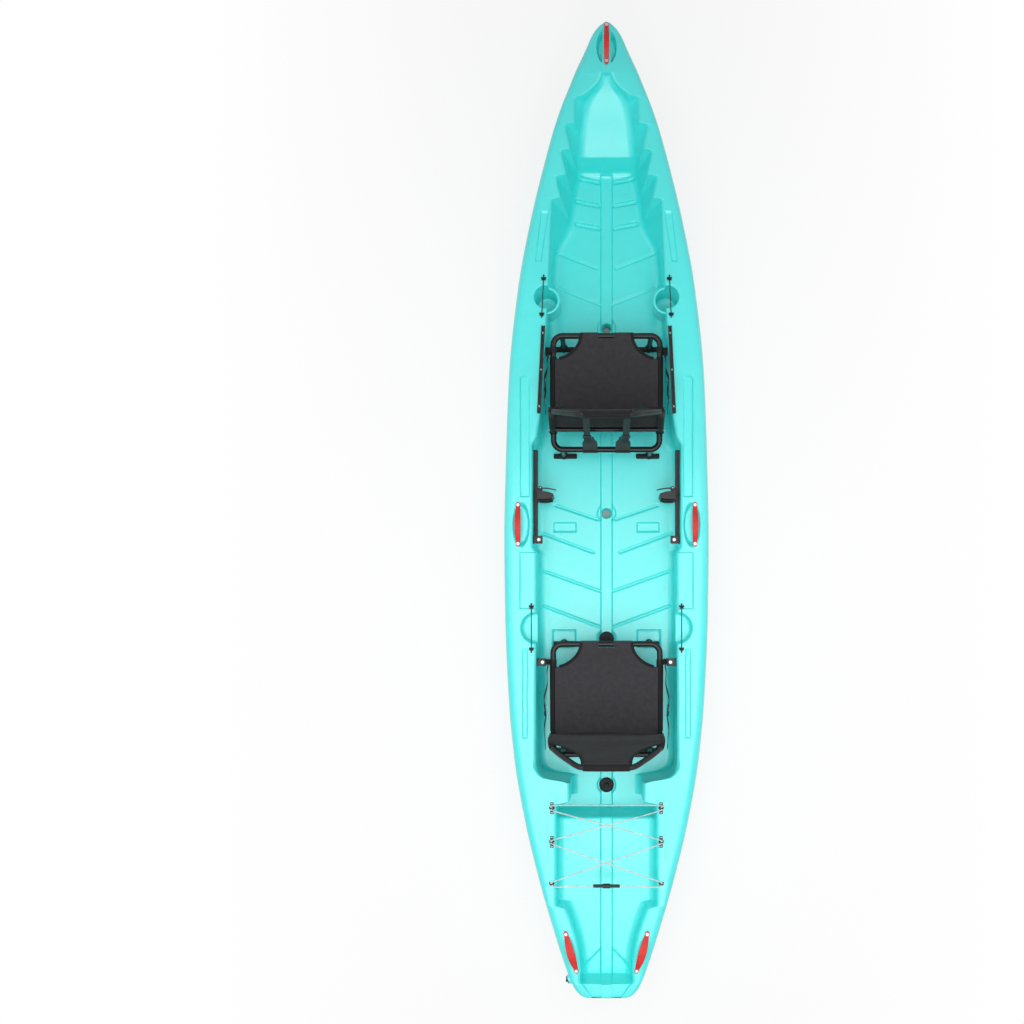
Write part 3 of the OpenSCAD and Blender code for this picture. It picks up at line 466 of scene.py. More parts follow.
GROUP_MAKERS = {"cloud": cloud_group, "grain": grain_group, "weave": weave_group, "scuff": scuff_group}
made_groups = {}


def use_group(tree, key, inputs):
    if key not in made_groups:
        made_groups[key] = GROUP_MAKERS[key]()
    return add(tree, "ShaderNodeGroup", inputs, node_tree=made_groups[key]).outputs


# Finishes

def rgba(c, gain=1.0):
    return (min(c[0] * gain, 1.0), min(c[1] * gain, 1.0), min(c[2] * gain, 1.0), 1.0)


made_finishes = {}


def finish(name, build):
    """A material made once; build gets its node tree and its Principled shader."""
    if name not in made_finishes:
        material = bpy.data.materials.new(name)
        material.use_nodes = True
        tree = material.node_tree
        build(tree, tree.nodes["Principled BSDF"])
        made_finishes[name] = material
    return made_finishes[name]


def bump(tree, shader, height, distance):
    node = add(tree, "ShaderNodeBump", {"Height": height, "Distance": distance})
    tree.links.new(node.outputs[0], shader.inputs["Normal"])


def set_plain(shader, values):
    """Sets what is the same all over the surface on the shader's own sockets."""
    for key, value in values.items():
        shader.inputs[key].default_value = value


def clouds(tree, light, deep, size, roughness, spread):
    return use_group(tree, "cloud", {"Light": light, "Deep": deep, "Size": size, "Roughness": roughness,
                                     "Roughness Spread": spread})


def paint(tree, shader, base, roughness):
    tree.links.new(base, shader.inputs["Base Color"])
    tree.links.new(roughness, shader.inputs["Roughness"])


def moulded(name, light, deep, cloud, roughness, spread, grain, depth, specular=0.5, scuffs=0.0, skin=0.0):
    """A moulded plastic or rubber with clouded colour, grain, light scuffs and a glossier skin."""
    def build(tree, shader):
        clouded = clouds(tree, light, deep, cloud, roughness, spread)
        base = clouded["Color"]
        if scuffs:
            mask = use_group(tree, "scuff", {"Size": 0.04, "Amount": scuffs})["Mask"]
            base = mix_colour(tree, mask, base, rgba(light, 1.9))
        paint(tree, shader, base, clouded["Roughness"])
        set_plain(shader, {"Specular IOR Level": specular, "Coat Weight": skin, "Coat Roughness": 0.25})
        bump(tree, shader, use_group(tree, "grain", {"Size": grain, "Ripple": 2.0})["Height"], depth)
    return finish(name, build)


def tinted(name, tint, gain, **surface):
    """A moulded finish of one colour, with clouds darkened by gain."""
    return moulded(name, rgba(tint), rgba(tint, gain), **surface)


def hull_finish():
    s = bpy.context.scene.kayak_hull
    return moulded("Aqua polyethylene", rgba(s.aqua), rgba(s.aqua_deep), cloud=0.35, roughness=s.roughness,
                   spread=0.12, grain=s.grain, depth=0.00012, specular=0.9, scuffs=0.05, skin=0.5)


def handle_finish():
    return tinted("Red handle rubber", bpy.context.scene.kayak_fittings.handle_red, 0.72, cloud=0.03,
                  roughness=0.5, spread=0.2, grain=0.0011, depth=0.0001, specular=0.35)


def nylon_finish():
    return tinted("Black nylon", bpy.context.scene.kayak_fittings.black, 0.7, cloud=0.02, roughness=0.42,
                  spread=0.2, grain=0.0009, depth=0.00006, specular=0.35, scuffs=0.25)


def rubber_finish():
    return tinted("Black plug rubber", bpy.context.scene.kayak_fittings.rubber, 0.6, cloud=0.02,
                  roughness=0.62, spread=0.2, grain=0.0012, depth=0.00008, specular=0.3)


def tube_finish():
    return tinted("Black powder coat", bpy.context.scene.kayak_seats.tube, 0.7, cloud=0.05, roughness=0.30,
                  spread=0.1, grain=0.0009, depth=0.00005, specular=0.3, scuffs=0.2)


def foam_finish():
    return tinted("White foam", bpy.context.scene.kayak_fittings.foam, 0.9, cloud=0.05, roughness=0.85,
                  spread=0.1, grain=0.004, depth=0.0004, specular=0.2)


def steel_finish():
    def build(tree, shader):
        steel = bpy.context.scene.kayak_fittings.steel
        set_plain(shader, {"Metallic": 1.0})
        clouded = clouds(tree, rgba(steel), rgba(steel, 0.7), size=0.008, roughness=0.40, spread=0.2)
        mask = use_group(tree, "scuff", {"Size": 0.01, "Amount": 0.5})["Mask"]
        paint(tree, shader, mix_colour(tree, mask, clouded["Color"], rgba(steel, 0.55)), clouded["Roughness"])
        bump(tree, shader, mask, 0.00002)
    return finish("Stainless steel", build)


def woven(name, tint, pitch, threads, depth, roughness=0.78, sheen=0.25):
    """Woven cloth: threads is the turn from the object's own directions to those of the threads."""
    def build(tree, shader):
        laid = add(tree, "ShaderNodeMapping", {"Vector": own_place(tree), "Rotation": threads}).outputs[0]
        weave = use_group(tree, "weave", {"Vector": laid, "Pitch": pitch})
        clouded = clouds(tree, rgba(tint, 1.25), rgba(tint, 0.8), size=0.02, roughness=roughness, spread=0.15)
        gaps = times(tree, weave["Gaps"], 0.7)
        paint(tree, shader, mix_colour(tree, gaps, clouded["Color"], rgba(tint, 0.35)), clouded["Roughness"])
        set_plain(shader, {"Sheen Weight": sheen, "Specular IOR Level": 0.2})
        bump(tree, shader, weave["Height"], depth)
    return finish(name, build)


FLAT_THREADS = (0, 0, 0)
UPRIGHT_THREADS = (math.pi / 2, 0, 0)
SIDE_THREADS = (0, math.pi / 2, 0.8)
CORD_THREADS = (0.5, 0.4, 0.78)


def sling_finish(upright):
    s = bpy.context.scene.kayak_seats
    if upright:
        # Painted shade: the upright backs take a darker copy of the seats' sling colour
        return woven("Charcoal back mesh", s.back_fabric_painted_shade, s.thread, UPRIGHT_THREADS, 0.0003, sheen=0.1)
    return woven("Charcoal seat mesh", s.fabric, s.thread, FLAT_THREADS, 0.0003)


def binding_finish():
    s = bpy.context.scene.kayak_seats
    return woven("Black binding", s.binding, 0.0011, SIDE_THREADS, 0.0002, roughness=0.7, sheen=0.05)


def webbing_finish(upright=False):
    s = bpy.context.scene.kayak_seats
    name, threads = ("Upright webbing", UPRIGHT_THREADS) if upright else ("Side webbing", SIDE_THREADS)
    return woven(name, s.webbing, 0.0019, threads, 0.0003, roughness=0.62, sheen=0.05)


def cord_finish(name, tint):
    return woven(name, tint, 0.0012, CORD_THREADS, 0.0002, roughness=0.7, sheen=0.2)


# Hull lines in millimetres along the hull, stern to bow: those of the solid, apart from the floor's risers
# before the tank well and at the bow

HALF_LENGTH = 2057.5
BREADTHS = (
    (-HALF_LENGTH, 105), (-2045, 126), (-2020, 147), (-1950, 176), (-1770, 234), (-1560, 295),
    (-1300, 358), (-1050, 401), (-800, 425), (-420, 441), (-100, 444.5), (220, 438), (600, 424),
    (980, 383), (1240, 334), (1490, 272), (1670, 218), (1840, 149), (1950, 98), (2010, 70), (2045, 40),
    (HALF_LENGTH, 14),
)
KEELS = (
    (-HALF_LENGTH, 240), (-2040, 215), (-2010, 150), (-1975, 100), (-1945, 75), (-1880, 58),
    (-1700, 38), (-1450, 22), (-1150, 10), (-800, 0), (1000, 0), (1250, 8), (1450, 20), (1600, 40),
    (1700, 62), (1800, 98), (1880, 140), (1960, 205), (2010, 250), (2045, 290), (HALF_LENGTH, 310),
)
CHINES = (
    (-HALF_LENGTH, 276), (-2010, 218), (-1770, 186), (-1420, 144), (-1000, 112), (-480, 83), (30, 75),
    (600, 88), (790, 97), (1310, 143), (1580, 178), (1800, 227), (1900, 252), (2010, 305),
    (HALF_LENGTH, 346),
)
SHEERS = (
    (-HALF_LENGTH, 350), (-1700, 350), (-1300, 334), (-700, 320), (400, 320), (900, 326), (1400, 345),
    (1800, 376), (1880, 384), (HALF_LENGTH, 384),
)
WELL_WIDTHS = (
    (-HALF_LENGTH, 60), (-2003, 95), (-1990, 110), (-1950, 108), (-1680, 172), (-1664, 213),
    (-1245, 213), (-1228, 156), (-1150, 156), (-1128, 262), (-1100, 292), (-1060, 300), (-170, 300),
    (-135, 316), (290, 316), (330, 296), (420, 282), (800, 258), (980, 248), (1235, 236), (1327, 232),
    (1339, 196), (1424, 211), (1436, 172), (1530, 189), (1542, 155), (1636, 172), (1648, 134),
    (1746, 134), (1758, 95), (1838, 22), (2010, 20), (HALF_LENGTH, 8),
)
FLOOR_WIDTHS = (
    (-HALF_LENGTH, 50), (-1990, 100), (-1950, 98), (-1680, 160), (-1664, 200), (-1245, 200),
    (-1228, 145), (-1150, 145), (-1128, 250), (-1100, 284), (-1060, 292), (-170, 292), (-135, 308),
    (290, 308), (330, 288), (420, 274), (800, 250), (980, 240), (1180, 222), (1300, 165), (1450, 140),
    (1560, 118), (1690, 100), (1758, 80), (1838, 14), (2010, 12), (HALF_LENGTH, 5),
)
ABOVE_DECK = 420
FLOOR_Z = 90
FLOOR_LEVELS = (
    (-HALF_LENGTH, ABOVE_DECK), (-2003, ABOVE_DECK), (-1988, 250), (-1960, 250), (-1324, 236),
    (-1312, 230), (-1294, 106), (-1282, FLOOR_Z), (1518, FLOOR_Z), (1545, 104), (1566, 196),
    (1578, 206), (1838, 372), (1850, ABOVE_DECK), (HALF_LENGTH, ABOVE_DECK),
)
FLATNESS = ((-1900, 0), (-1300, 1), (1250, 1), (1850, 0))
KEEL_SHARES = (
    (-HALF_LENGTH, 0.4), (-1500, 0.5), (-700, 0.55), (700, 0.5), (1300, 0.3), (1800, 0.12),
    (HALF_LENGTH, 0.1),
)
INNER_CHINES = ((-HALF_LENGTH, 0.6), (-1400, 0.78), (900, 0.8), (1500, 0.6), (HALF_LENGTH, 0.4))
OUTER_CHINES = ((-HALF_LENGTH, 0.86), (-1400, 0.9), (900, 0.92), (1500, 0.84), (HALF_LENGTH, 0.7))
BILGE_DROP = 60
GUNWALE_EDGE = 14
WELL_LIP = 10
DECK_CROWN = 8
KEEL_TUNNEL = 6
CHANNEL_W = 23
CHANNEL_D = 8
CHANNEL_BOW = 1538
CHANNEL_FADE = 12
CHANNEL_LIP = 5
CHINE_RISE = 30
KEEL_VEE = 10
FLOOR_FILLET = 14
CROWN_FADE = 60
LIP_DROP = 8
FOOT_OUT = 8
FOOT_RISE = 16


def curve(y, table):
    """Monotone cubic through a table of (place, value)."""
    t = np.asarray(table, float)
    y = np.clip(np.asarray(y, float), t[0, 0], t[-1, 0])
    rates = np.diff(t[:, 1]) / np.diff(t[:, 0])
    a, b = rates[:-1], rates[1:]
    same = a * b > 0
    inner = np.where(same, 2 * a * b / np.where(same, a + b, 1), 0)
    slope = np.concatenate([rates[:1], inner, rates[-1:]])
    i = np.clip(np.searchsorted(t[:, 0], y) - 1, 0, len(t) - 2)
    h = t[i + 1, 0] - t[i, 0]
    s = (y - t[i, 0]) / h
    ease = s * s * (3 - 2 * s)
    return (
        t[i, 1] * (1 - ease) + t[i + 1, 1] * ease
        + h * s * (1 - s) * ((1 - s) * slope[i] - s * slope[i + 1])
    )


def step(edge, soft, value):
    """Rises softly from 0 to 1 where value passes edge."""
    s = np.clip((value - edge) / soft + 0.5, 0, 1)
    return s * s * (3 - 2 * s)


def sheer_z(y):
    return float(curve(y, SHEERS))


def well_w(y):
    return float(curve(y, WELL_WIDTHS))


def half_sections(y, inset):
    """The fourteen corners of each half section, keel to floor centre, as (stations, 14, 2)."""
    flat = curve(y, FLATNESS)
    b = curve(y, BREADTHS) - inset
    k = curve(y, KEELS) + inset
    g = curve(y, SHEERS) - inset
    c = np.maximum(curve(y, CHINES), k + CHINE_RISE)
    vee = KEEL_VEE * (1 - flat)
    strip = b * curve(y, KEEL_SHARES)
    edge = np.minimum(GUNWALE_EDGE, 0.4 * b)
    top = curve(y, WELL_WIDTHS) + inset
    lip = np.minimum(WELL_LIP, 0.1 * b)
    toe = curve(y, FLOOR_WIDTHS) + inset
    fillet = np.minimum(FLOOR_FILLET, 0.4 * toe)
    level = curve(y, FLOOR_LEVELS) - inset
    depth = np.maximum(0, g - level)
    crown = DECK_CROWN * (1 - np.minimum(1, depth / CROWN_FADE))
    groove_w = np.minimum(CHANNEL_W, 0.5 * (toe - fillet))
    groove_d = np.minimum(CHANNEL_D, 0.2 * depth) * (1 - step(CHANNEL_BOW, CHANNEL_FADE, y))
    foot = toe + np.minimum(FOOT_OUT, 0.3 * toe)
    groove_edge = groove_w + np.minimum(CHANNEL_LIP, 0.2 * groove_w)

    def deck(x):
        return g + crown * (1 - x / b)

    def ground(x):
        return np.minimum(level, deck(x))

    nil = 0 * y
    corners = (
        (nil, k + KEEL_TUNNEL * flat), (0.45 * strip, k + 0.45 * vee), (strip, k + vee),
        (b * curve(y, INNER_CHINES), k + np.maximum(0.45 * (c - k), vee + 4)),
        (b * curve(y, OUTER_CHINES), c), (b, g - BILGE_DROP), (b - edge, g),
        (top + lip, deck(top + lip)), (top, deck(top) - np.minimum(LIP_DROP, 0.3 * depth)),
        (foot, ground(foot) + np.minimum(FOOT_RISE, 0.4 * depth)),
        (toe - fillet, ground(toe - fillet)), (groove_edge, ground(groove_edge)),
        (groove_w, ground(groove_w) - groove_d + np.minimum(1, groove_d)), (nil, ground(nil) - groove_d),
    )
    return np.stack([np.stack(corner, -1) for corner in corners], 1)


# Moulded relief of the deck and the floor, in millimetres: CREASE and SLOT are depth, half width and
# softness, panels are x, x, y, y, those of the deck with their depth, and grips are x, y, two radii and depth

CREASE = (6, 5, 7)
SLOT = (11, 9, 8)
FLOOR_CREASES = (
    ((230, 1192), (43, 1119)), ((230, 1037), (30, 959)), ((226, 58), (38, -5)), ((288, -67), (60, -152)),
    ((281, -237), (29, -326)), ((281, -393), (29, -487)),
)
FLOOR_SLOTS = (((132, 1524), (36, 1506)), ((132, 1419), (36, 1401)), ((132, 1318), (36, 1300)))
FLOOR_PANELS = ((136, 234, -60, -19), (139, 240, -575, -500))
FLOOR_PANEL_D = 9
DECK_PANELS = (
    (330, 367, 70, 583, 8), (297, 369, -408, -169, 8), (338, 357, -958, -583, 7),
    (281, 309, -1090, -1060, 4),
)
FORWARD_SLOT = ((247, 277, 1280), (279, 302, 1072))
FORWARD_SLOT_D = 8
SIDE_GRIP = (364, -48, 32, 86, 20)
BOW_GRIP = (0, 1950, 38, 66, 34)
EYE_PLATE = (213, 250, -1474, -1199)
EYE_PLATE_D = 2
STERN_FLARE = (-1876, 24, 0.965)
SCUPPER_YS = (852, 23, -540, -1195)
SCUPPER_R = 20
SCUPPER_DISH_R = 41
SCUPPER_FACE_Z = 84


def in_box(x, y, x0, x1, y0, y1, soft=5):
    return step(x0, soft, x) * step(-x1, soft, -x) * step(y0, soft, y) * step(-y1, soft, -y)


def in_strip(x, y, a, b, half, soft):
    run = np.subtract(b, a)
    share = np.clip(((x - a[0]) * run[0] + (y - a[1]) * run[1]) / (run @ run), 0, 1)
    gap = np.hypot(x - a[0] - share * run[0], y - a[1] - share * run[1])
    return step(-half, soft, -gap)


def in_oval(x, y, cx, cy, rx, ry, soft=10):
    return step(0, soft, (1 - np.hypot((x - cx) / rx, (y - cy) / ry)) * min(rx, ry))


def floor_relief(x, y):
    drops = [0 * x]
    for (deep, half, soft), strips in ((CREASE, FLOOR_CREASES), (SLOT, FLOOR_SLOTS)):
        drops += [deep * in_strip(x, y, a, b, half, soft) for a, b in strips]
    drops += [FLOOR_PANEL_D * in_box(x, y, *panel) for panel in FLOOR_PANELS]
    dishes = [in_oval(x, y, 0, at, SCUPPER_DISH_R, SCUPPER_DISH_R, 6) for at in SCUPPER_YS]
    start, half, rate = STERN_FLARE
    flare = step(start, 12, start * 2 - y) * step(0, 8, half + (start - y) * rate - x)
    drops += [CHANNEL_D * widening * (x > CHANNEL_W) for widening in (*dishes, flare)]
    return -np.maximum.reduce(drops)


def deck_relief(x, y):
    drops = [0 * x] + [deep * in_box(x, y, *panel) for *panel, deep in DECK_PANELS]
    (a0, a1, ya), (b0, b1, yb) = FORWARD_SLOT
    share = (y - yb) / (ya - yb)
    inner, outer = b0 + (a0 - b0) * share, b1 + (a1 - b1) * share
    across = step(0, 5, x - inner) * step(0, 5, outer - x)
    drops.append(FORWARD_SLOT_D * across * in_box(x, y, 0, math.inf, yb, ya))
    drops += [deep * in_oval(x, y, *oval) for *oval, deep in (SIDE_GRIP, BOW_GRIP)]
    drops.append(EYE_PLATE_D * in_box(x, y, *EYE_PLATE))
    return -np.maximum.reduce(drops)


# Hull mesh

CORNER_ROUNDS = (0, 20, 25, 40, 35, 34, 30, 8, 8, 14, 20, 3, 3, 0)
LAST_CORNER = len(CORNER_ROUNDS) - 1
ROUND_SHARE = 0.45
STRETCH_STEPS = (5, 4, 7, 7, 8, 3, 24, 3, 13, 3, 46, 2, 4)
ARC_STEPS = 5
DECK_STRETCH = 6
WALL_STRETCH = 8
FLOOR_STRETCH = 9
END_EASE = ((0, 7.0), (1.2, 3.6), (3.5, 1.4), (7.0, 0.3), (11.0, 0.0))
STEEP_STEPS = 2.6
STEEP_CUTS = 8
STEEP_MARGIN = 3
CREASE_MARGIN = 14
LEAST_STEP = 1.2


def stations(step_mm):
    """Where the hull is cut: even steps, and short ones at the mouldings' steep faces and creases."""
    inside = HALF_LENGTH - END_EASE[-1][0]
    places = list(np.arange(-inside, inside, step_mm)) + [inside]
    for table in (WELL_WIDTHS, FLOOR_LEVELS):
        for (ya, _), (yb, _) in zip(table[1:], table[2:]):
            if yb - ya < STEEP_STEPS * step_mm:
                places += list(np.linspace(ya - STEEP_MARGIN, yb + STEEP_MARGIN, STEEP_CUTS))
    for (_, ya), (_, yb) in FLOOR_CREASES + FLOOR_SLOTS:
        places += list(np.arange(yb - CREASE_MARGIN, ya + CREASE_MARGIN, step_mm / 2))
    places = np.sort(places)
    keep = np.concatenate([[True], np.diff(places) > LEAST_STEP])
    return places[keep]


def half_rings(y, inset):
    """Each half section with its corners rounded, its stretches divided and its relief moulded in."""
    corner = half_sections(y, inset)
    to_next = corner[:, 1:] - corner[:, :-1]
    reach = np.maximum(np.linalg.norm(to_next, axis=2), 1e-6)
    rows, weight_deck, weight_floor = [], [], []

    def put(points, deck, floor):
        rows.append(points)
        weight_deck.append(deck)
        weight_floor.append(floor)

    last = corner[:, 0]
    put(last, 0, 0)
    for i in range(LAST_CORNER):
        goal = i + 1
        if goal < LAST_CORNER:
            most = ROUND_SHARE * np.minimum(reach[:, i], reach[:, i + 1])
            r = np.minimum(CORNER_ROUNDS[goal], most)[:, None]
            into = corner[:, goal] - to_next[:, i] / reach[:, i, None] * r
            out = corner[:, goal] + to_next[:, i + 1] / reach[:, i + 1, None] * r
        else:
            into = corner[:, goal]
        on_deck = 1.0 if DECK_STRETCH <= i < WALL_STRETCH else 0.0
        on_floor = 1.0 if i >= FLOOR_STRETCH else 0.0
        steps = STRETCH_STEPS[i]
        for j in range(1, steps + 1):
            share = j / steps
            deck = 1 - share if i == WALL_STRETCH else on_deck
            put(last + (into - last) * share, deck, on_floor)
        if goal < LAST_CORNER:
            next_deck = 1.0 if DECK_STRETCH <= goal <= WALL_STRETCH else 0.0
            next_floor = 1.0 if goal >= FLOOR_STRETCH else 0.0
            for j in range(1, ARC_STEPS + 1):
                s = j / ARC_STEPS
                arc = into * (1 - s) ** 2 + 2 * s * (1 - s) * corner[:, goal] + out * s ** 2
                put(arc, next_deck, next_floor)
            last = out
    ring = np.stack(rows, 1)
    x, z = ring[..., 0], ring[..., 1].copy()
    at = np.broadcast_to(y[:, None], x.shape)
    z += deck_relief(x, at) * np.array(weight_deck) + floor_relief(x, at) * np.array(weight_floor)
    return x, z


def hull_loft():
    even = stations(bpy.context.scene.kayak_hull.station_step / MM)
    ease = np.array(END_EASE[:-1])
    y = np.concatenate([-HALF_LENGTH + ease[:, 0], even, HALF_LENGTH - ease[::-1, 0]])
    inset = np.concatenate([ease[:, 1], 0 * even, ease[::-1, 1]])
    x, z = half_rings(y, inset)
    count, half = x.shape
    ring = 2 * half - 2
    around = list(range(half)) + list(range(half - 2, 0, -1))
    sign = np.array([1] * half + [-1] * (half - 2))
    points = np.stack([x[:, around] * sign, np.broadcast_to(y[:, None], (count, ring)), z[:, around]], 2)
    j, i = np.meshgrid(np.arange(count - 1), np.arange(ring), indexing="ij")
    following = (i + 1) % ring
    quads = np.stack(
        [j * ring + i, (j + 1) * ring + i, (j + 1) * ring + following, j * ring + following], 2
    ).reshape(-1, 4)
    faces = quads.tolist()
    for row, flip in ((0, 1), (count - 1, -1)):
        start = row * ring
        for k in range(half - 1):
            corners = [start + k, start + k + 1, start + (ring - k - 1) % ring, start + (ring - k) % ring]
            seen = list(dict.fromkeys(corners))
            faces.append(seen[::flip])
    return points.reshape(-1, 3), faces


# Cup holders are x, y, radius, floor and rim, pockets the same without the rim, and the drain's boss and
# bore are radius and two places along the drain's axis

CUPS = (260, 921, 48, 150, 275)
CUP_COLLAR_W = 12
POCKETS = (300, -490, 66, 235)
DRAIN_AT = (-153, -1985, 316)
DRAIN_TURN = 203
DRAIN_BOSS = (21, -26, 10)
DRAIN_BORE = (9.4, -34, 26)
DRAIN_EASE = 2.0
WELL_ROUND = 12
WELL_FLARE = 6
CUT_OVER = 40


def well_cutter(x, y, radius, floor):
    """Tool for a round well with a filleted floor and an eased rim at the deck."""
    rim, r, flare = sheer_z(y), WELL_ROUND, WELL_FLARE
    profile = [(0, floor)] + [
        (radius - r + r * math.sin(a), floor + r - r * math.cos(a)) for a in np.linspace(0, math.pi / 2, 6)
    ] + [(radius, rim - flare)] + [
        (radius + flare * (1 - math.cos(a)), rim - flare + flare * math.sin(a))
        for a in np.linspace(0.3, math.pi / 2, 5)
    ]
    return lathe(profile + [(radius + flare, rim + CUT_OVER), (0, rim + CUT_OVER)], 64, (x, y, 0))


def cup_collar(x, y, radius, floor, rim):
    """Column of the cup holder with a rolled rim, bulging into the cockpit."""
    half = CUP_COLLAR_W / 2
    outer = radius + CUP_COLLAR_W
    roll = [
        (radius + half + half * math.cos(a), rim - half + half * math.sin(a))
        for a in np.linspace(0, math.pi, 9)
    ]
    profile = [(0, floor - 6), (outer - 10, floor - 6), (outer - 2, floor + 2), (outer, floor + 12)]
    return lathe(profile + roll + [(radius - 4, rim - 30), (0, rim - 30)], 64, (x, y, 0))


def scupper_cutter(y):
    r, top, bottom = SCUPPER_R, SCUPPER_FACE_Z - 2, float(curve(y, KEELS)) - 2
    profile = [
        (0, bottom - 20), (r + 9, bottom - 20), (r + 9, bottom + 4), (r + 3, bottom + 9), (r, bottom + 16),
        (r, top - 9), (r + 1.5, top - 4), (r + 5, top), (r + 5, top + 60), (0, top + 60),
    ]
    return lathe(profile, 48, (0, y, 0))


def drain_rod(radius, low, high, ease=0.0):
    """A rod along the drain's axis, its outer edge eased."""
    rod = lathe([(0, low), (radius, low), (radius, high - ease), (radius - ease, high), (0, high)], 48)
    turn = math.radians(DRAIN_TURN)
    out = np.array((math.cos(turn), math.sin(turn), 0))
    side = np.cross(UP, out)
    return moved(rod, lambda p: DRAIN_AT + p[:, :1] * side + p[:, 1:2] * UP + p[:, 2:] * out)


def cut_with(made, shape, operation):
    """Joins a shape to a mesh or takes it away, for good."""
    tool = mesh_object("cutter", shape)
    change = made.modifiers.new("Cut", "BOOLEAN")
    change.object = tool
    change.operation = operation
    change.solver = "MANIFOLD"
    view = bpy.context.evaluated_depsgraph_get()
    done = bpy.data.meshes.new_from_object(made.evaluated_get(view))
    made.modifiers.clear()
    made.data = done
    bpy.data.objects.remove(tool)


def build_hull():
    made = mesh_object("moulded_hull", hull_loft(), hull_finish())
    added = [both_sides(cup_collar(*CUPS)), drain_rod(*DRAIN_BOSS, DRAIN_EASE)]
    cut_with(made, join(added), "UNION")
    tools = [both_sides(well_cutter(*well)) for well in (CUPS[:4], POCKETS)]
    tools += [scupper_cutter(at) for at in SCUPPER_YS] + [drain_rod(*DRAIN_BORE)]
    cut_with(made, join(tools), "DIFFERENCE")
    shade_smooth(made.data, HULL_SHARP_ANGLE)
    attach(made, "hull")
    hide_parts("hull_shell")
    for block in ("foam_block_bow", "foam_block_stern"):
        dress(block, foam_finish())


# Carry handles: x, y, turn in degrees, deck height, length, and how lens-shaped the grip is

HANDLES = {
    "bow_handle": (0, 1962, 0, 392, 176, 1.0),
    "port_side_handle": (-377, -48, 0, 320, 190, 1.2),
    "starboard_side_handle": (377, -48, 0, 320, 190, 1.2),
    "port_stern_handle": (-150, -1862, 16, 350, 186, 1.5),
    "starboard_stern_handle": (150, -1862, -16, 350, 186, 1.5),
}
HANDLE_W = 22
HANDLE_RISE = 26
HANDLE_T = 6
HANDLE_PAD = 24
HANDLE_NECK = 0.86
LAY_GAP = 0.3
HANDLE_GAP = 0.2
HANDLE_ROUND = 11
HANDLE_RIBS = 9
RIB_SPREAD = 0.42
RIB_REACH = 0.3
RIB_SIZE = (3.2, 2.0)
WASHER = ((0, 0), (8.8, 0), (8.8, 0.6), (8.0, 1.3), (4.4, 1.3), (0, 1.3))


def turned(degrees, x, y, z):
    """A change that turns points about the upright and then puts them at x, y, z."""
    c, s = math.cos(math.radians(degrees)), math.sin(math.radians(degrees))
    turn = np.array(((c, s, 0), (-s, c, 0), (0, 0, 1)))
    return lambda p: p @ turn + (x, y, z)


def handle_shape(run, lens):
    """A flexible strap handle: flat round pads at its ends and a swelling, ribbed grip between them."""
    half = run / 2
    free = half - HANDLE_PAD

    def rise(s):
        return HANDLE_RISE * np.sin(math.pi / 2 * np.clip((free - np.abs(s)) / free, 0, 1))

    s = np.linspace(-half, half, 49)
    ends = np.clip((half - np.abs(s)) / HANDLE_ROUND, 0, 1)
    wide = np.sqrt(np.clip(1 - (1 - ends) ** 2, 0.06, 1))
    grip = HANDLE_NECK + (lens - HANDLE_NECK) * np.clip(1 - (s / free) ** 2, 0, 1)
    path = np.stack([0 * s, s, rise(s) + HANDLE_T / 2 + HANDLE_GAP], 1)
    parts = [sweep(path, rounded_rectangle(HANDLE_W, HANDLE_T, 2.6, 5), UP, wide * grip)]
    reach = HANDLE_W * RIB_REACH
    for at in np.linspace(-RIB_SPREAD * free, RIB_SPREAD * free, HANDLE_RIBS):
        z = rise(at) + HANDLE_T + LAY_GAP
        parts.append(bar((-reach, at, z), (reach, at, z), *RIB_SIZE, 0.9))
    return join(parts)


def build_handles():
    for name, (x, y, turn, z, run, lens) in HANDLES.items():
        at_deck = turned(turn, x, y, z + LAY_GAP)
        shape = moved(handle_shape(run, lens), at_deck)
        piece(name + "_strap", shape, "hull", handle_finish(), (name,))
        bolt_y = (run - HANDLE_PAD) / 2
        washers = join([lathe(WASHER, 32, (0, end * bolt_y, HANDLE_T + 0.1)) for end in (-1, 1)])
        piece(name + "_washers", moved(washers, at_deck), "hull", handle_finish())
    dress("handle_bolts", steel_finish(), 0.0012)


# Foot braces: BRACE_PARTS gives each part's edge rounding in metres

RAIL_X = (298, 316)
RAIL_Z = (222, 250)
RAIL_Y = 86
RAIL_L = 388
PEDAL_FACE = 297.6
PEDAL_Z = (182, 290)
PEDAL_MARGIN = 10
PEDAL_FRONT = 60
PEDAL_RIB = ((-6, -1), (-40, -1), (-63, 4))
PEDAL_RIBS = 9
TOOTH_STEP = 12
TOOTH_X = (RAIL_X[0] + 3, RAIL_X[1] - 2)
RAIL_END_X = (RAIL_X[0] + 1, RAIL_X[1] - 1)
RAIL_END_IN = 8
TEETH_MARGIN = 60
BRACE_PARTS = {"foot_rail": 0.0012, "foot_pedal": 0.0022, "pedal_trigger": 0.0009}


def across_rail(y, xs, up, width, thick, radius):
    """A flat bar on top of a rail, across it."""
    a, b = ((x, y, RAIL_Z[1] + up) for x in xs)
    return bar(a, b, width, thick, radius)


def rail_teeth():
    """Row of stop teeth along the top of a rail, and an end block at each end."""
    count = int((RAIL_L - TEETH_MARGIN) / TOOTH_STEP)
    ys = RAIL_Y + (np.arange(count) - (count - 1) / 2) * TOOTH_STEP
    end = RAIL_L / 2 - RAIL_END_IN
    teeth = [across_rail(y, TOOTH_X, 0.8, 5, 1.6, 0.7) for y in ys]
    return join(teeth + [across_rail(RAIL_Y + e * end, RAIL_END_X, 1, 16, 2.4, 1.2) for e in (-1, 1)])


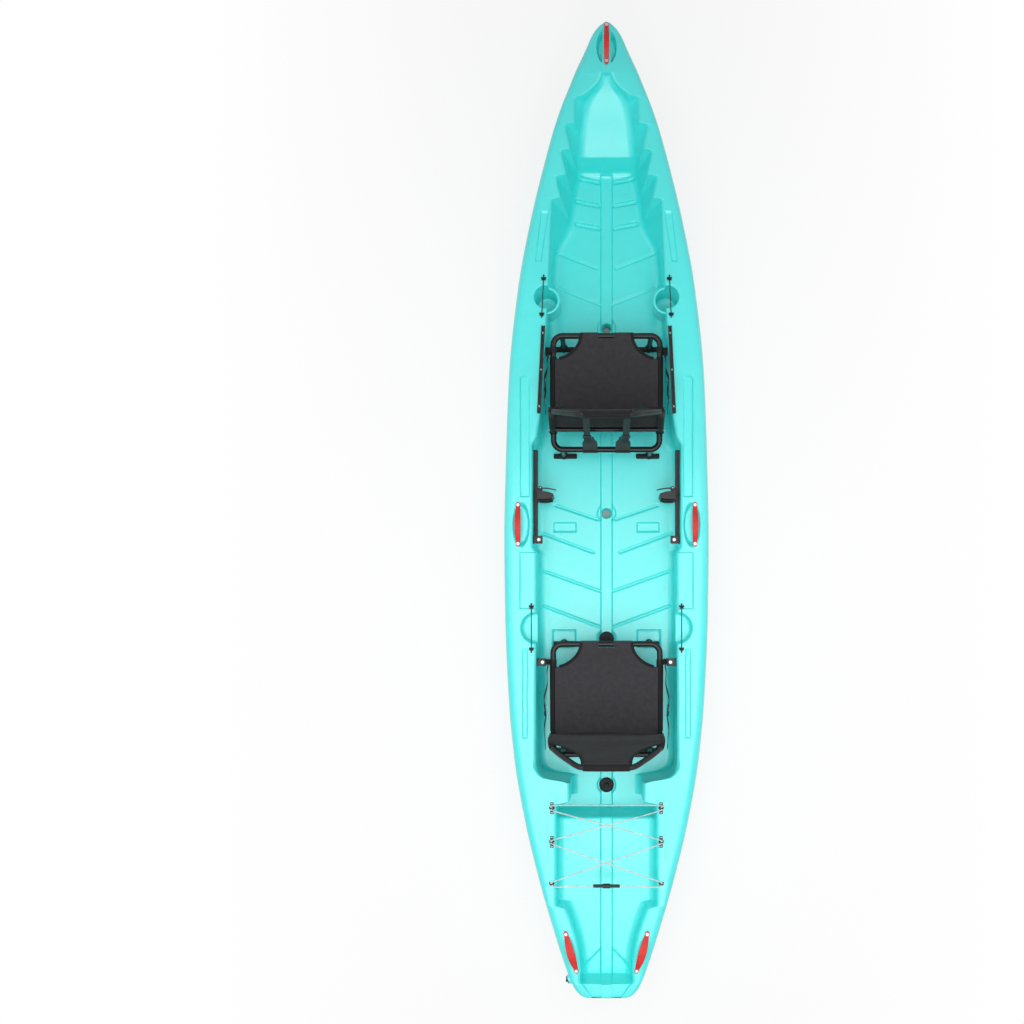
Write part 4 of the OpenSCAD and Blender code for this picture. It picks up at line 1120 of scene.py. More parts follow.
def pedal_ribs():
    """Grip ribs across the face that the foot presses."""
    profile = rounded_rectangle(4, 3, 1.2)
    return join([
        sweep(smooth_path([(PEDAL_FACE + x, PEDAL_FRONT + y, z) for x, y in PEDAL_RIB], 6), profile)
        for z in np.linspace(PEDAL_Z[0] + PEDAL_MARGIN, PEDAL_Z[1] - PEDAL_MARGIN, PEDAL_RIBS)
    ])


def build_foot_braces():
    black, steel = nylon_finish(), steel_finish()
    for name, side in SIDES.items():
        for part, rounding in BRACE_PARTS.items():
            dress(f"{name}_{part}", black, rounding)
        dress(name + "_trigger_pin", steel, 0.0004)
        piece(name + "_rail_teeth", on_side(rail_teeth(), side), "hull", black)
        piece(name + "_pedal_ribs", on_side(pedal_ribs(), side), name + "_pedal",
              rubber_finish())
    dress("rail_screws", steel, 0.0006)


# Deck fittings

EYE_X = 232
EYE_YS = (-1256, -1398, -1573)
EYE_BASE_L = 50
EYE_BASE_W = 14
EYE_RIVET = ((0, 0), (3.6, 0), (3.0, 1.3), (1.4, 2.0), (0, 2.0))
EYE_RIVET_SHARE = 0.39


def build_deck_fittings():
    rounding = bpy.context.scene.kayak_fittings.edge_round
    black, steel, rubber = nylon_finish(), steel_finish(), rubber_finish()
    for surface, ease, nodes in (
        (black, 0.0006, ("port_track", "starboard_track")),
        (black, rounding, ("front_hold_downs", "solo_hold_downs", "rear_hold_downs")),
        (black, 0.0008, ("keeper_pad_eyes", "tank_well_pad_eyes")),
        (steel, 0.0005, ("track_screws", "hold_down_bolts", "pad_eye_rivets")),
        (rubber, 0.0, ("middle_scupper_plug", "rear_scupper_plug", "drain_gasket")),
        (black, 0.0, ("cord_lock",)),
        (black, 0.001, ("drain_plug",)),
    ):
        for node in nodes:
            dress(node, surface, ease)
    bases, heads = [], []
    for y in EYE_YS[:2]:
        z = sheer_z(y)
        ends = [(EYE_X, y + e * EYE_BASE_L / 2, z - 0.9) for e in (-1, 1)]
        bases.append(bar(*ends, EYE_BASE_W, 3.2, 1.4))
        ends = [(EYE_X, y + e * EYE_BASE_L * EYE_RIVET_SHARE, z + 0.5) for e in (-1, 1)]
        heads += [lathe(EYE_RIVET, 24, end) for end in ends]
    piece("tank_eye_bases", both_sides(join(bases)), "hull", black)
    piece("tank_eye_base_rivets", both_sides(join(heads)), "hull", steel)


# Cords

CORD_END = 52
CORD_STRAIGHT = 130
CORD_LIFT = 5.9
LOCK_Y = EYE_YS[2] - 8
TURN_IN = 14
TURN_GAP = 13
TURN_SLACK = 2.5
OVER = 4
KEEPER_YS = {"front": (996, 846), "rear": (-400, -580)}
KEEPER_OUT = 20
KEEPER_UP = 5.3
KNOT_OUT = 12


def eye_point(side, i):
    return np.array((side * (EYE_X - TURN_SLACK), EYE_YS[i], sheer_z(EYE_YS[i]) + CORD_LIFT))


def round_eye(side, i, come, go):
    p = eye_point(side, i)
    return [p + (-side * TURN_IN, come * TURN_GAP, 0), p, p + (-side * TURN_IN, go * TURN_GAP, 0)]


def crossing(i, lift):
    return [(eye_point(1, i) + eye_point(-1, i + 1)) / 2 + (0, 0, lift)]


def tank_route():
    """Out of the lock, round the six eyes and back, with one crossing lifted over the other."""
    z = eye_point(1, 2)[2]
    return (
        [(CORD_END, LOCK_Y, z), (CORD_STRAIGHT, LOCK_Y, z)]
        + round_eye(1, 2, -1, 1) + crossing(1, OVER) + round_eye(-1, 1, -1, 1) + crossing(0, OVER)
        + round_eye(1, 0, -1, 1) + [(0, EYE_YS[0] + TURN_GAP, eye_point(1, 0)[2])] + round_eye(-1, 0, 1, -1)
        + crossing(0, -OVER) + round_eye(1, 1, 1, -1) + crossing(1, -OVER) + round_eye(-1, 2, 1, -1)
        + [(-CORD_STRAIGHT, LOCK_Y, z), (-CORD_END, LOCK_Y, z)]
    )


def lay_cord(name, path, diameter, cord_material, slot, nodes, **facts):
    """A cord as one open curve of the given diameter."""
    path = np.asarray(path, float) * MM
    line = bpy.data.curves.new(name, "CURVE")
    line.dimensions = "3D"
    line.bevel_depth = diameter / 2
    line.bevel_resolution = 5
    line.use_fill_caps = True
    spline = line.splines.new("POLY")
    spline.points.add(len(path) - 1)
    spline.points.foreach_set("co", np.c_[path, np.ones(len(path))].ravel())
    spline.use_smooth = True
    line.materials.append(cord_material)
    made = bpy.data.objects.new(name, line)
    bpy.context.scene.collection.objects.link(made)
    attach(made, "hull")
    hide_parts(*nodes)


def knot_shape(p):
    """An overhand knot: a short turn of cord round itself with its tail."""
    turn = np.linspace(0, 1.6 * math.pi, 15)
    loop = np.stack([2.7 * np.cos(turn), 2.2 * np.sin(2 * turn) * 0.5, 2.0 * np.sin(turn)], 1)
    tail = [(0, -4, 0), (0, 4, 0)]
    return moved(join([tube(loop, 1.5, 12, (0, 1, 0.01)), tube(tail, 2.4, 14)]), lambda q: q + p)


def build_cords():
    s = bpy.context.scene.kayak_cords
    grey = cord_finish("Grey shock cord", s.tank_colour)
    lay_cord("tank_well_lacing", smooth_path(tank_route(), 8), s.tank_diameter, grey, "tank_cord",
             ("tank_well_cord",), far_end="object")
    black = cord_finish("Black shock cord", s.keeper_colour)
    for place, (fore, aft) in KEEPER_YS.items():
        for name, side in SIDES.items():
            ends = [
                np.array((side * (well_w(y) + KEEPER_OUT), y + out, sheer_z(y) + KEEPER_UP))
                for y, out in ((fore, KNOT_OUT), (aft, -KNOT_OUT))
            ]
            knots = piece(f"{place}_{name}_keeper_knots", join([knot_shape(p) for p in ends]), "hull",
                          black)
            lay_cord(f"{place}_{name}_keeper", np.linspace(ends[0], ends[1], 24), s.keeper_diameter, black,
                     "keeper_cord", (f"{place}_keeper_cords",), far_end="knot", with_pieces=[knots])


# Frame seats: seat points are in the base frame's plane, back points in the back's. STRAP_TAIL is back along
# the strap, out and up; BACK_TAIL is down along the strap and out behind it; PULL is where the cloth is drawn
# into wrinkles: its middle, and its reach along and across

SEAT_YS = (758, -558)
SEAT_H = 310
SEAT_RAKE = math.radians(5.7)
RECLINES = (math.radians(-7), math.radians(2))
SEAT_W = 456
SEAT_L = 480
TUBE_R = 12.5
LEG_X = 190
HINGE_BACK = 400
HINGE_UP = 30
HINGE_EYE_W = 22
BACK_PATH = (
    (228, 0, 4), (228, -8, 34), (228, 4, 90), (228, 20, 150), (226, 14, 210), (216, -4, 265),
    (186, -22, 312), (148, -40, 356), (116, -54, 388), (86, -59, 398), (0, -60, 400),
)
TOP_BAR_Y, TOP_BAR_Z = BACK_PATH[-1][1:]
BACK_TUBE_R = 11.5
LOWER_BAR = (-8, 34, 9)
SLING_EDGE = SEAT_W / 2 + TUBE_R
SLING_REAR = -398
SLING_FRONT = 12
NECK_W = 113
CUT_L = 112
SLING_SAG = 26
SAG_RUN = 120
REAR_DROOP = 10
SLING_T = 3
CLOTH_UP = TUBE_R + 0.5 + SLING_T
CLOTH_COLS = 73
FRONT_PART = -84
NOTCH_START = -90
PULL = (-60, 90, 150)
WRINKLES = (0.9, 0.5)
BACK_NECK = 100
BACK_ROWS = (-6, 404)
SHOULDER_Z = 250
HOLLOW_Z = 46
HOLLOW_D = 9
SIDE_SLEEVE = (58, 268)
TOP_SLEEVE = 92
SLEEVE_OVER = 2.4
BACK_SLEEVE_OVER = 2.6
STRAP_X = 245
STRAP_W = 25
STRAP_T = 2
STRAP_LOW = (-72, 4)
STRAP_HIGH = (2, 250)
STRAP_BUCKLE = 35
STRAP_GAP = 1.6
STRAP_BULGE = 9
STRAP_WAVE = 5
STRAP_SAG = 9
STRAP_TAIL = ((0, 3, 0), (22, 7, -2), (48, 10, -16), (60, 11, -44))
BACK_TAIL = ((0, 4), (30, 8), (62, 11), (92, 10))
BACK_STRAP_X = 80
BACK_STRAP_W = 27
BACK_STRAP_LOW = (-76, -13)
BACK_STRAP_TOP = (-73.5, 392)
BACK_BUCKLE_SHARE = 0.42
TAB_X = 70
TAB_W = 64
TAB_T = 2.4
TAB_NARROWING = 0.45
TAB_WRAP = (-60, 165)
TAB_GAP = 1.2
CLOTH_EDGE = SEAT_W / 2 - 8
CLOTH_REAR_EDGE = 209
SLEEVE_REAR = -378
NOTCH_W = 42
BINDING_W = 13
BINDING_T = 3.8
BINDING_UP = 2.2
REAR_BINDING_IN = 5
LOW_BINDING = 226
NOTCH_D = 24
HOLD_DOWN_YS = (700, -637)
HOLD_TAIL = 34
HOLD_GAP = 1.4
HOLD_TAIL_GAP = 1.6
AFT = (0, -1, 0.05)


def tilt(p, angle, y, z):
    c, s = math.cos(angle), math.sin(angle)
    return np.stack([p[..., 0], y + p[..., 1] * c - p[..., 2] * s, z + p[..., 1] * s + p[..., 2] * c], -1)


def in_seat(i):
    return lambda p: tilt(np.asarray(p, float), SEAT_RAKE, SEAT_YS[i], SEAT_H)


def in_back(i):
    _, y, z = in_seat(i)((0, -HINGE_BACK, HINGE_UP))
    return lambda p: tilt(np.asarray(p, float), RECLINES[i], y, z)


def sling_w(y):
    u = np.clip((SLING_FRONT - y) / CUT_L, 0, 1)
    return NECK_W + (SLING_EDGE - NECK_W) * (1 - np.sqrt(1 - u * u))


def cloth_w(y):
    return np.minimum(np.minimum(sling_w(y), CLOTH_EDGE),
                      CLOTH_REAR_EDGE + (CLOTH_EDGE - CLOTH_REAR_EDGE) * step(SLEEVE_REAR - 8, 4, y))


def sling_sink(x, y):
    """Sag between the tubes, and the droop of the free rear edge."""
    u = np.minimum(np.abs(x) / (SEAT_W / 2 - TUBE_R - 6), 1)
    v = np.clip((-TUBE_R - 4 - y) / SAG_RUN, 0, 1)
    droop = REAR_DROOP * u * u * step(-SLEEVE_REAR + 4, 14, -y)
    return SLING_SAG * (1 - u * u) * v * (2 - v) + droop


def base_sling_grid():
    """Top face of the seat's cloth, with a few drawn wrinkles by the front tabs and along the tubes."""
    rear, front = np.linspace(SLING_REAR, FRONT_PART, 50)[:-1], np.linspace(FRONT_PART, SLING_FRONT, 34)
    y = np.concatenate([rear, front])[:, None]
    u = np.sin(np.linspace(-1, 1, CLOTH_COLS) * math.pi / 2)[None, :]
    x = u * cloth_w(y)
    y = np.broadcast_to(y, x.shape)
    notch = np.clip((y - NOTCH_START) / (SLING_FRONT - NOTCH_START), 0, 1) ** 3
    y = y - NOTCH_D * step(-NOTCH_W, 9, -np.abs(x)) * notch
    middle, along, across = PULL
    pull = np.clip(1 - np.abs(y - middle) / along, 0, 1) * np.clip(1 - np.abs(x) / across, 0, 1)
    drawn, slow = WRINKLES
    waves = slow * np.sin(y / 21 + x / 60) * np.clip(1 - np.abs(u) ** 6, 0, 1)
    z = CLOTH_UP - sling_sink(x, y) + drawn * pull * np.sin(x / 9) + waves
    return np.stack([x, y, z], 2)


def sling_edge_path(side):
    y = np.linspace(SLING_FRONT - 3, -96, 30)
    x = cloth_w(y) - BINDING_W / 2 + 1
    return np.stack([side * x, y, TUBE_R + BINDING_UP - sling_sink(x, y)], 1)


def back_y(z):
    return curve(z, [(p[2], p[1]) for p in BACK_PATH])


def back_sling_w(z):
    u = np.clip((z - SHOULDER_Z) / (TOP_BAR_Z - SHOULDER_Z), 0, 1)
    edge = SLING_EDGE - 4
    return edge - (edge - BACK_NECK) * (1 - (1 - u) ** 2.4)


def back_sling_grid():
    """Front face of the back's cloth, hollowed a little between the tubes."""
    z = np.linspace(*BACK_ROWS, 70)[::-1, None]
    u = np.sin(np.linspace(-1, 1, CLOTH_COLS) * math.pi / 2)[None, :]
    x = u * back_sling_w(z)
    z = np.broadcast_to(z, x.shape)
    rise = np.clip((z - HOLLOW_Z) / (BACK_ROWS[1] - HOLLOW_Z), 0, 1)
    hollow = HOLLOW_D * (1 - u ** 4) * np.sin(rise * math.pi)
    wave = 0.5 * np.sin(z / 17 + x / 45) * (1 - np.abs(u) ** 6)
    y = back_y(np.minimum(z, TOP_BAR_Z)) + CLOTH_UP - hollow + wave
    return np.stack([x, y, z], 2)


def back_sleeves():
    """Sewn sleeves of the back's cloth round its side tubes and its top bar."""
    side = smooth_path(BACK_PATH, 6)
    low, high = SIDE_SLEEVE
    part = side[(side[:, 2] > low) & (side[:, 2] < high)]
    x = np.linspace(-TOP_SLEEVE, TOP_SLEEVE, 40)
    bend = (np.abs(x) / TOP_SLEEVE) ** 4
    top = np.stack([x, TOP_BAR_Y + 0.9 * bend, TOP_BAR_Z - 1.5 * bend], 1)
    radius = BACK_TUBE_R + BACK_SLEEVE_OVER
    return join([both_sides(tube(part, radius, 22, FORWARD)), tube(top, radius, 22, FORWARD)])


def back_edge_path(side):
    z = np.linspace(SHOULDER_Z + 2, TOP_BAR_Z, 30)
    return np.stack([side * (back_sling_w(z) - BINDING_W / 2 + 1), back_y(z) + TUBE_R + 2.0, z], 1)


def webbing(path, width, thick, face):
    return sweep(path, rounded_rectangle(width, thick, 0.9, 3), face)


def binding(path, face):
    return webbing(path, BINDING_W, BINDING_T, face)


def ladder_lock(width, run, thick):
    """A ladder-lock buckle flat in the u-v plane: two cheeks and three bars, the tail bar lifted."""
    half, cheek = width / 2, 4.5
    middle = half + cheek / 2
    rails = [bar((s * middle, -run / 2, 0), (s * middle, run / 2, 0), cheek, thick) for s in (-1, 1)]
    rungs = [
        bar((-half - 2, v, lift), (half + 2, v, lift), 6.5, 0.8 * thick)
        for v, lift in ((-run / 2 + 3.2, 0), (0, 1.2), (run / 2 - 3.2, 2.4))
    ]
    return join(rails + rungs)


def recline_strap(i):
    """Where the strap beside the seat starts and ends, and its slightly slack path."""
    low = in_seat(i)((STRAP_X, *STRAP_LOW))
    high = in_back(i)((STRAP_X, *STRAP_HIGH))
    s = np.linspace(-0.02, 1.02, 60)[:, None]
    path = low + (high - low) * s
    slack = np.clip(s[:, 0] * (1 - s[:, 0]) * 4, 0, 1)
    path[:, 0] += STRAP_GAP + slack * (STRAP_BULGE + STRAP_WAVE * np.sin(s[:, 0] * 17))
    path[:, 2] -= STRAP_SAG * slack
    return low, high, path


def soft_piece(name, shape, surface, nodes):
    """A piece without a body of its own."""
    made = mesh_object(name, shape, surface)
    if nodes:
        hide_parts(*nodes)
    return made


def build_straps(i, seat):
    """Strap beside the seat, with a buckle and a loose tail past it, on each side."""
    low, high, path = recline_strap(i)
    run = high - low
    way = unit(run)
    at = path[STRAP_BUCKLE]
    tail = smooth_path([at - way * back + (out, 0, up) for back, out, up in STRAP_TAIL], 8)
    strap = join([webbing(path, STRAP_W, STRAP_T, ACROSS), webbing(tail, STRAP_W - 1, 1.6, ACROSS)])
    buckle = moved(
        ladder_lock(STRAP_W, 38, 3.4),
        lambda p: at + (2.2, 0, 0) + p[:, 2:] * ACROSS + p[:, 1:2] * way + p[:, :1] * np.cross(way, ACROSS),
    )
    for name, side in SIDES.items():
        made = soft_piece(f"{seat}_{name}_recline_strap", on_side(strap, side), webbing_finish(),
                          (f"{seat}_seat_recline_straps",))
        lock = soft_piece(f"{seat}_{name}_recline_buckle", on_side(buckle, side),
                          nylon_finish(), (f"{seat}_seat_recline_buckles",))
        for soft in (made, lock):
            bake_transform(soft)


def build_back_straps(i, seat):
    """Straps behind the back, from the base's rear bar to the back's top bar: tab, buckle and webbing."""
    at_back = in_back(i)
    low, top = at_back((0, *BACK_STRAP_LOW)), at_back((0, *BACK_STRAP_TOP))
    rear_bar = in_seat(i)((0, -SEAT_L, 0))
    lock = low + (top - low) * BACK_BUCKLE_SHARE
    way = unit(top - low)
    behind = np.cross(way, ACROSS)
    if behind[1] >= 0:
        behind = -behind
    turn = np.radians(np.linspace(*TAB_WRAP, 16))[:, None]
    wrap = rear_bar - (TUBE_R + TAB_GAP) * np.concatenate([0 * turn, np.sin(turn), np.cos(turn)], 1)
    rise = wrap[-1] + (lock - way * 8 - wrap[-1]) * np.linspace(0.12, 1, 14)[:, None]
    tab_path = np.concatenate([wrap, rise])
    wide = 1 - TAB_NARROWING * step(0.86, 0.2, np.linspace(0, 1, len(tab_path)))
    tab = sweep(tab_path, rounded_rectangle(TAB_W, TAB_T, 1.0, 3), AFT, wide)
    s = np.linspace(-0.04, 1, 30)[:, None]
    line = lock + (top - lock) * s + behind * (2 * np.sin(np.clip(s, 0, 1) * math.pi))
    tail = smooth_path([lock + behind * out - way * down for down, out in BACK_TAIL], 8)
    straps = join([webbing(path, BACK_STRAP_W, STRAP_T, AFT) for path in (line, tail)])
    buckle = moved(
        ladder_lock(BACK_STRAP_W, 40, 3.6),
        lambda p: lock + behind * 2.5 + p[:, :1] * ACROSS + p[:, 1:2] * way + p[:, 2:] * behind,
    )
    for name, shape, x, slot, surface, nodes in (
        ("back_tabs", tab, TAB_X, "sling_fabric", sling_finish(True), ()),
        ("back_webbing", straps, BACK_STRAP_X, "webbing", webbing_finish(True),
         (f"{seat}_seat_back_straps",)),
        ("back_ladder_locks", buckle, BACK_STRAP_X, "fitting_plastic", nylon_finish(),
         (f"{seat}_seat_back_buckles",)),
    ):
        pair = both_sides(moved(shape, lambda p: p + (x, 0, 0)))
        made = soft_piece(f"{seat}_{name}", pair, surface, nodes)
        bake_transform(made)


def tube_loop(centre, radius, width):
    """Webbing wound once round a tube that runs along y."""
    turn = (np.arange(28) * 2 * math.pi / 28)[:, None]
    ring = centre + radius * np.concatenate([np.cos(turn), 0 * turn, -np.sin(turn)], 1)
    return sweep(ring, rounded_rectangle(STRAP_T, width, 0.8, 3), FORWARD, closed=True)


def build_seat_base(i, seat):
    """The base's finish, its foot skids, and its cloth with sleeves, tabs and binding."""
    at_seat = in_seat(i)
    dress(f"{seat}_seat_base_frame", tube_finish())
    dress(f"{seat}_seat_foot_caps", rubber_finish(), 0.002)
    dress(f"{seat}_seat_hinge_bolts", steel_finish(), 0.0008)
    skids = both_sides(join([
        bar((LEG_X - 58, y - 4, FLOOR_Z + 7), (LEG_X + 46, y - 4, FLOOR_Z + 7), 22, 12, 4)
        for y in (at_seat((0, 0, 0))[1], at_seat((0, -SEAT_L, 0))[1])
    ]))
    piece(f"{seat}_foot_skids", skids, "hull", rubber_finish())

    def sewn(name, shape, surface, nodes=()):
        return piece(f"{seat}_{name}", moved(shape, at_seat), "hull", surface, nodes)

    sleeves = tube([(SEAT_W / 2, y, 0) for y in (-88, -230, SLEEVE_REAR)], TUBE_R + SLEEVE_OVER, 22)
    tabs = tube([(x, 0, 0) for x in (34, 70, NECK_W - 2)], TUBE_R + SLEEVE_OVER, 22)
    held = [
        sewn("base_sleeves", both_sides(sleeves), binding_finish()),
        sewn("base_tabs", both_sides(tabs), sling_finish(False)),
    ]
    rear_y = SLING_REAR + REAR_BINDING_IN
    rear = [(x, rear_y, TUBE_R + BINDING_UP - float(sling_sink(x, rear_y)))
            for x in np.linspace(-CLOTH_REAR_EDGE + 2, CLOTH_REAR_EDGE - 2, 41)]
    edges = [binding(path, UP) for path in (sling_edge_path(-1), sling_edge_path(1), rear)]
    held.append(sewn("base_binding", join(edges), binding_finish()))
    thick = bpy.context.scene.kayak_seats.cloth / MM
    base = sewn("base_cloth", thick_sheet(base_sling_grid(), thick), sling_finish(False),
                (f"{seat}_seat_base_sling",))


def back_tubes():
    """The back's bent tube, its lower bar and its hinge eyes."""
    whole = np.concatenate([BACK_PATH, [(-x, y, z) for x, y, z in BACK_PATH[-2::-1]]])
    bar_y, bar_z, bar_r = LOWER_BAR
    half = SEAT_W / 2
    eye = tube([(half - HINGE_EYE_W / 2, 0, 0), (half + HINGE_EYE_W / 2, 0, 0)], 12, 28)
    return join([
        tube(smooth_path(whole, 6), BACK_TUBE_R, 22, FORWARD),
        tube([(x, bar_y, bar_z) for x in (-half, 0, half)], bar_r, 20),
        both_sides(eye),
    ])


def build_seat_back(i, seat, body):
    """The back's tubes, and its cloth with sleeves and binding."""
    def riding(name, shape, surface, nodes=()):
        return piece(f"{seat}_{name}", moved(shape, in_back(i)), body, surface, nodes)

    riding("back_tubes", back_tubes(), tube_finish(), (f"{seat}_seat_back_frame",))
    hems = riding("back_sleeves", back_sleeves(), binding_finish())
    low_z = BACK_ROWS[0] + REAR_BINDING_IN
    low_y = float(back_y(low_z)) + TUBE_R + BINDING_UP
    lower = [(x, low_y, low_z) for x in np.linspace(-LOW_BINDING, LOW_BINDING, 41)]
    edges = [binding(path, FORWARD) for path in (back_edge_path(-1), back_edge_path(1), lower)]
    trim = riding("back_binding", join(edges), binding_finish())
    thick = bpy.context.scene.kayak_seats.cloth / MM
    back = riding("back_cloth", thick_sheet(back_sling_grid(), thick), sling_finish(True),
                  (f"{seat}_seat_back_sling",))


def build_hold_loops(i, seat):
    """Webbing round the side tubes that ties the seat to its brackets."""
    x, y = SEAT_W / 2, (HOLD_DOWN_YS[i] - SEAT_YS[i]) / math.cos(SEAT_RAKE)
    loop = tube_loop(np.array((x, y, 0)), TUBE_R + HOLD_GAP, STRAP_W)
    reach = min(well_w(HOLD_DOWN_YS[i]) - 4 - x, HOLD_TAIL)
    low = -TUBE_R - HOLD_TAIL_GAP
    path = [(x, y, -TUBE_R - HOLD_GAP), (x + reach / 2, y, low), (x + reach, y, low)]
    shape = both_sides(join([loop, webbing(path, STRAP_W, STRAP_T, UP)]))
    piece(f"{seat}_hold_webbing", moved(shape, in_seat(i)), "hull", webbing_finish(),
          (f"{seat}_seat_hold_loops",))


def build_seat(i):
    seat = SEATS[i]
    body = f"{seat}_seat_back"
    build_seat_base(i, seat)
    build_seat_back(i, seat, body)
    build_back_straps(i, seat)
    build_straps(i, seat)
    build_hold_loops(i, seat)


# Stage

FLOOR_REACH = 40000
FLOOR_GREYS = (0.90, 0.93)
# The hull's shadow is whole in an ellipse with these half axes in metres; the floor's glow grows with the
# distance from its middle, in those half axes, by each gain between two distances
SHADE_AXES = (0.42, 1.95)
GLOWS = ((0.6, 1.0, 0.80), (1.2, 4.5, 0.20))
LAMPS = (
    ("Key light", (0, -1.2, 3.4), (0, -1.1, 0), (2.6, 3.4), "key_power"),
    ("Port light", (-2.8, 0.4, 2.2), (0, 0.1, 0.2), (1.6, 4.4), "fill_power"),
    ("Starboard light", (2.8, 0.4, 2.2), (0, 0.1, 0.2), (1.6, 4.4), "fill_power"),
)


def seen_directly(tree):
    """1 for what the camera sees straight, through a clear thing or in a reflection, otherwise 0."""
    seen = add(tree, "ShaderNodeLightPath").outputs
    direct = math_node(tree, "MAXIMUM", seen["Is Camera Ray"], seen["Is Transmission Ray"])
    return math_node(tree, "MAXIMUM", direct, seen["Is Glossy Ray"])


def pale_floor():
    def build(tree, shader):
        set_plain(shader, {"Roughness": 0.9, "Specular IOR Level": 0.1})
        place = own_place(tree)
        greys = [rgba((grey, grey, grey)) for grey in FLOOR_GREYS]
        tree.links.new(mix_colour(tree, noise(tree, place, 2.0, 2.0), *greys), shader.inputs["Base Color"])
        glow = add(tree, "ShaderNodeEmission", {"Color": (1, 1, 1, 1), "Strength": 1.0})
        scale = (1 / SHADE_AXES[0], 1 / SHADE_AXES[1], 1.0)
        spot = add(tree, "ShaderNodeVectorMath", {0: place, 1: scale}, operation="MULTIPLY").outputs[0]
        away = add(tree, "ShaderNodeVectorMath", {0: spot}, operation="LENGTH").outputs["Value"]
        bright = plus(tree, *(ramp(tree, away, low, high, 0.0, gain) for low, high, gain in GLOWS))
        share = times(tree, seen_directly(tree), bright)
        blend = add(tree, "ShaderNodeMixShader", {0: share, 1: shader.outputs[0], 2: glow.outputs[0]})
        tree.links.new(blend.outputs[0], tree.nodes["Material Output"].inputs["Surface"])
    return finish("Pale floor", build)


def area_light(name, place, aim, size, power):
    lamp = bpy.data.lights.new(name, "AREA")
    lamp.shape = "RECTANGLE"
    lamp.size, lamp.size_y = size
    lamp.energy = power
    made = bpy.data.objects.new(name, lamp)
    made.location = place
    made.rotation_euler = (Vector(aim) - Vector(place)).to_track_quat("-Z", "Y").to_euler()
    bpy.context.scene.collection.objects.link(made)


def build_stage():
    scene = bpy.context.scene
    s = scene.kayak_stage
    scene.view_settings.view_transform = "Standard"
    camera = bpy.data.cameras.new("Camera")
    camera.lens = s.lens
    camera.sensor_width = 36
    camera.shift_x = s.shift_x
    camera.shift_y = s.shift_y
    eye = bpy.data.objects.new("Camera", camera)
    eye.location = (0, s.camera_y, s.camera_height)
    scene.collection.objects.link(eye)
    scene.camera = eye
    corners = [(x * FLOOR_REACH, y * FLOOR_REACH, 0) for x, y in ((-1, -1), (1, -1), (1, 1), (-1, 1))]
    floor = mesh_object("floor", (corners, [[0, 1, 2, 3]]), pale_floor())
    world = bpy.data.worlds.new("White room")
    world.use_nodes = True
    scene.world = world
    tree = world.node_tree
    strength = ramp(tree, seen_directly(tree), 0, 1, s.room_light, 1.0)
    back = tree.nodes["Background"]
    back.inputs["Color"].default_value = (1, 1, 1, 1)
    tree.links.new(strength, back.inputs["Strength"])
    for name, spot, aim, size, power in LAMPS:
        area_light(name, spot, aim, size, getattr(s, power))


# Operators, panel and registration

class KayakStage(bpy.types.Operator):
    """Makes the camera, the lights and the pale floor"""
    bl_idname = "kayak.build_stage"
    bl_label = "Stage"

    def execute(self, context):
        build_stage()
        return {"FINISHED"}


class KayakCords(bpy.types.Operator):
    """Lays the tank well lacing and the paddle keepers"""
    bl_idname = "kayak.build_cords"
    bl_label = "Cords"

    def execute(self, context):
        build_cords()
        return {"FINISHED"}


class KayakHull(bpy.types.Operator):
    """Lofts the moulded hull with its wells and relief, and dresses the foam inside it"""
    bl_idname = "kayak.build_hull"
    bl_label = "Hull"

    def execute(self, context):
        build_hull()
        return {"FINISHED"}


class KayakHandles(bpy.types.Operator):
    """Makes the five carry handles and dresses their bolts"""
    bl_idname = "kayak.build_handles"
    bl_label = "Carry handles"

    def execute(self, context):
        build_handles()
        return {"FINISHED"}


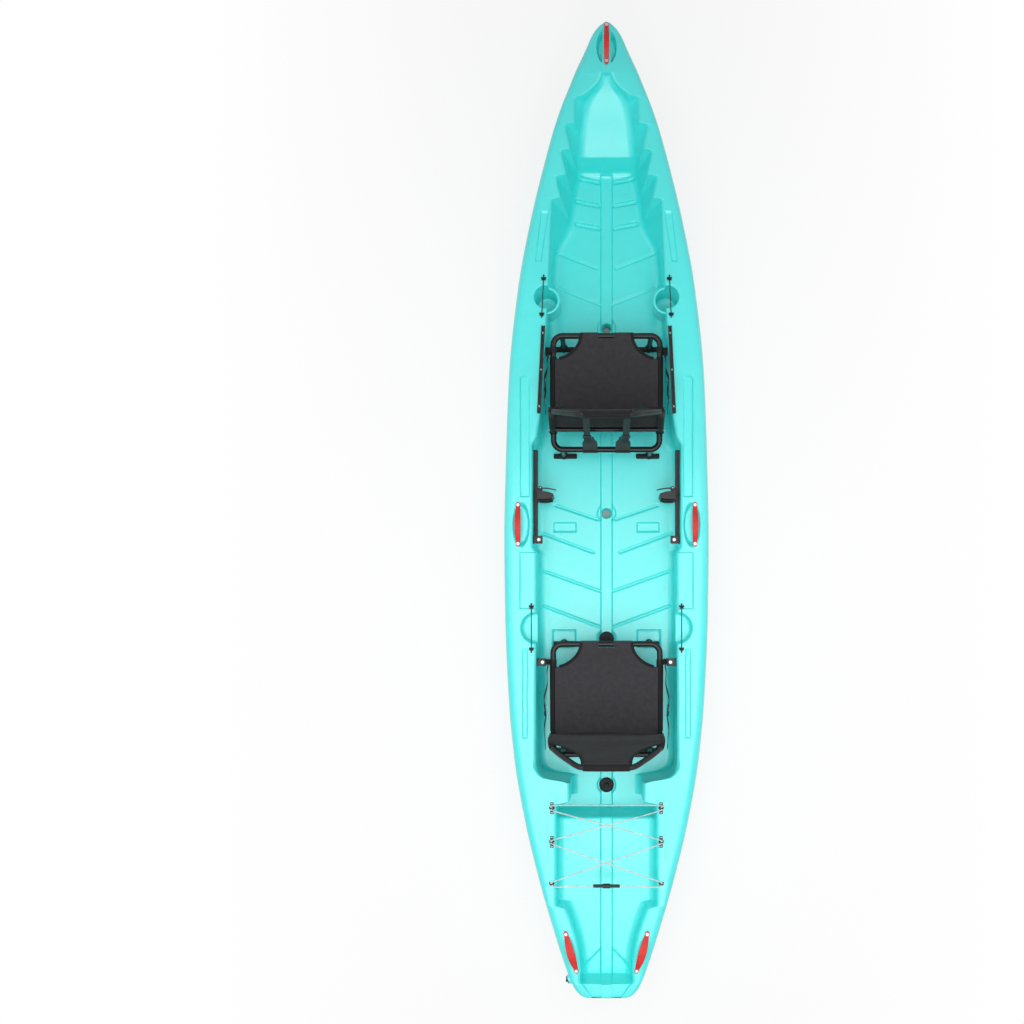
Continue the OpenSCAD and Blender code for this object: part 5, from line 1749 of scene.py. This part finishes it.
class KayakFootBraces(bpy.types.Operator):
    """Dresses the foot rails, pedals and triggers and adds their teeth and ribs"""
    bl_idname = "kayak.build_foot_braces"
    bl_label = "Foot braces"

    def execute(self, context):
        build_foot_braces()
        return {"FINISHED"}


class KayakDeckFittings(bpy.types.Operator):
    """Dresses the tracks, brackets, eyes, plugs and fasteners"""
    bl_idname = "kayak.build_deck_fittings"
    bl_label = "Deck fittings"

    def execute(self, context):
        build_deck_fittings()
        return {"FINISHED"}


class KayakSeats(bpy.types.Operator):
    """Makes the cloth, tubes, straps and buckles of both seats"""
    bl_idname = "kayak.build_seats"
    bl_label = "Seats"

    def execute(self, context):
        for i in range(len(SEATS)):
            build_seat(i)
        return {"FINISHED"}


OPERATORS = (KayakStage, KayakCords, KayakHull, KayakHandles, KayakFootBraces, KayakDeckFittings, KayakSeats)
SETTINGS = {
    "kayak_hull": KayakHullSettings,
    "kayak_seats": KayakSeatSettings,
    "kayak_fittings": KayakFittingSettings,
    "kayak_cords": KayakCordSettings,
    "kayak_stage": KayakStageSettings,
}


class KayakPanel(bpy.types.Panel):
    """Lists the kayak's pieces and settings"""
    bl_idname = "VIEW3D_PT_kayak"
    bl_label = "Tandem kayak"
    bl_space_type = "VIEW_3D"
    bl_region_type = "UI"
    bl_category = "Kayak"

    def draw(self, context):
        for operator in OPERATORS:
            self.layout.operator(operator.bl_idname)
        for name, group in SETTINGS.items():
            box = self.layout.box()
            for key in group.__annotations__:
                box.prop(getattr(context.scene, name), key)


def register():
    for made in (*SETTINGS.values(), *OPERATORS, KayakPanel):
        bpy.utils.register_class(made)
    for name, group in SETTINGS.items():
        setattr(bpy.types.Scene, name, PointerProperty(type=group))


def unregister():
    for name in SETTINGS:
        delattr(bpy.types.Scene, name)
    for made in (KayakPanel, *reversed(OPERATORS), *reversed(SETTINGS.values())):
        bpy.utils.unregister_class(made)


def main():
    register()
    bpy.ops.kayak.build_stage()
    bpy.ops.kayak.build_cords()
    bpy.ops.kayak.build_hull()
    bpy.ops.kayak.build_handles()
    bpy.ops.kayak.build_foot_braces()
    bpy.ops.kayak.build_deck_fittings()
    bpy.ops.kayak.build_seats()


if __name__ == "__main__":
    main()
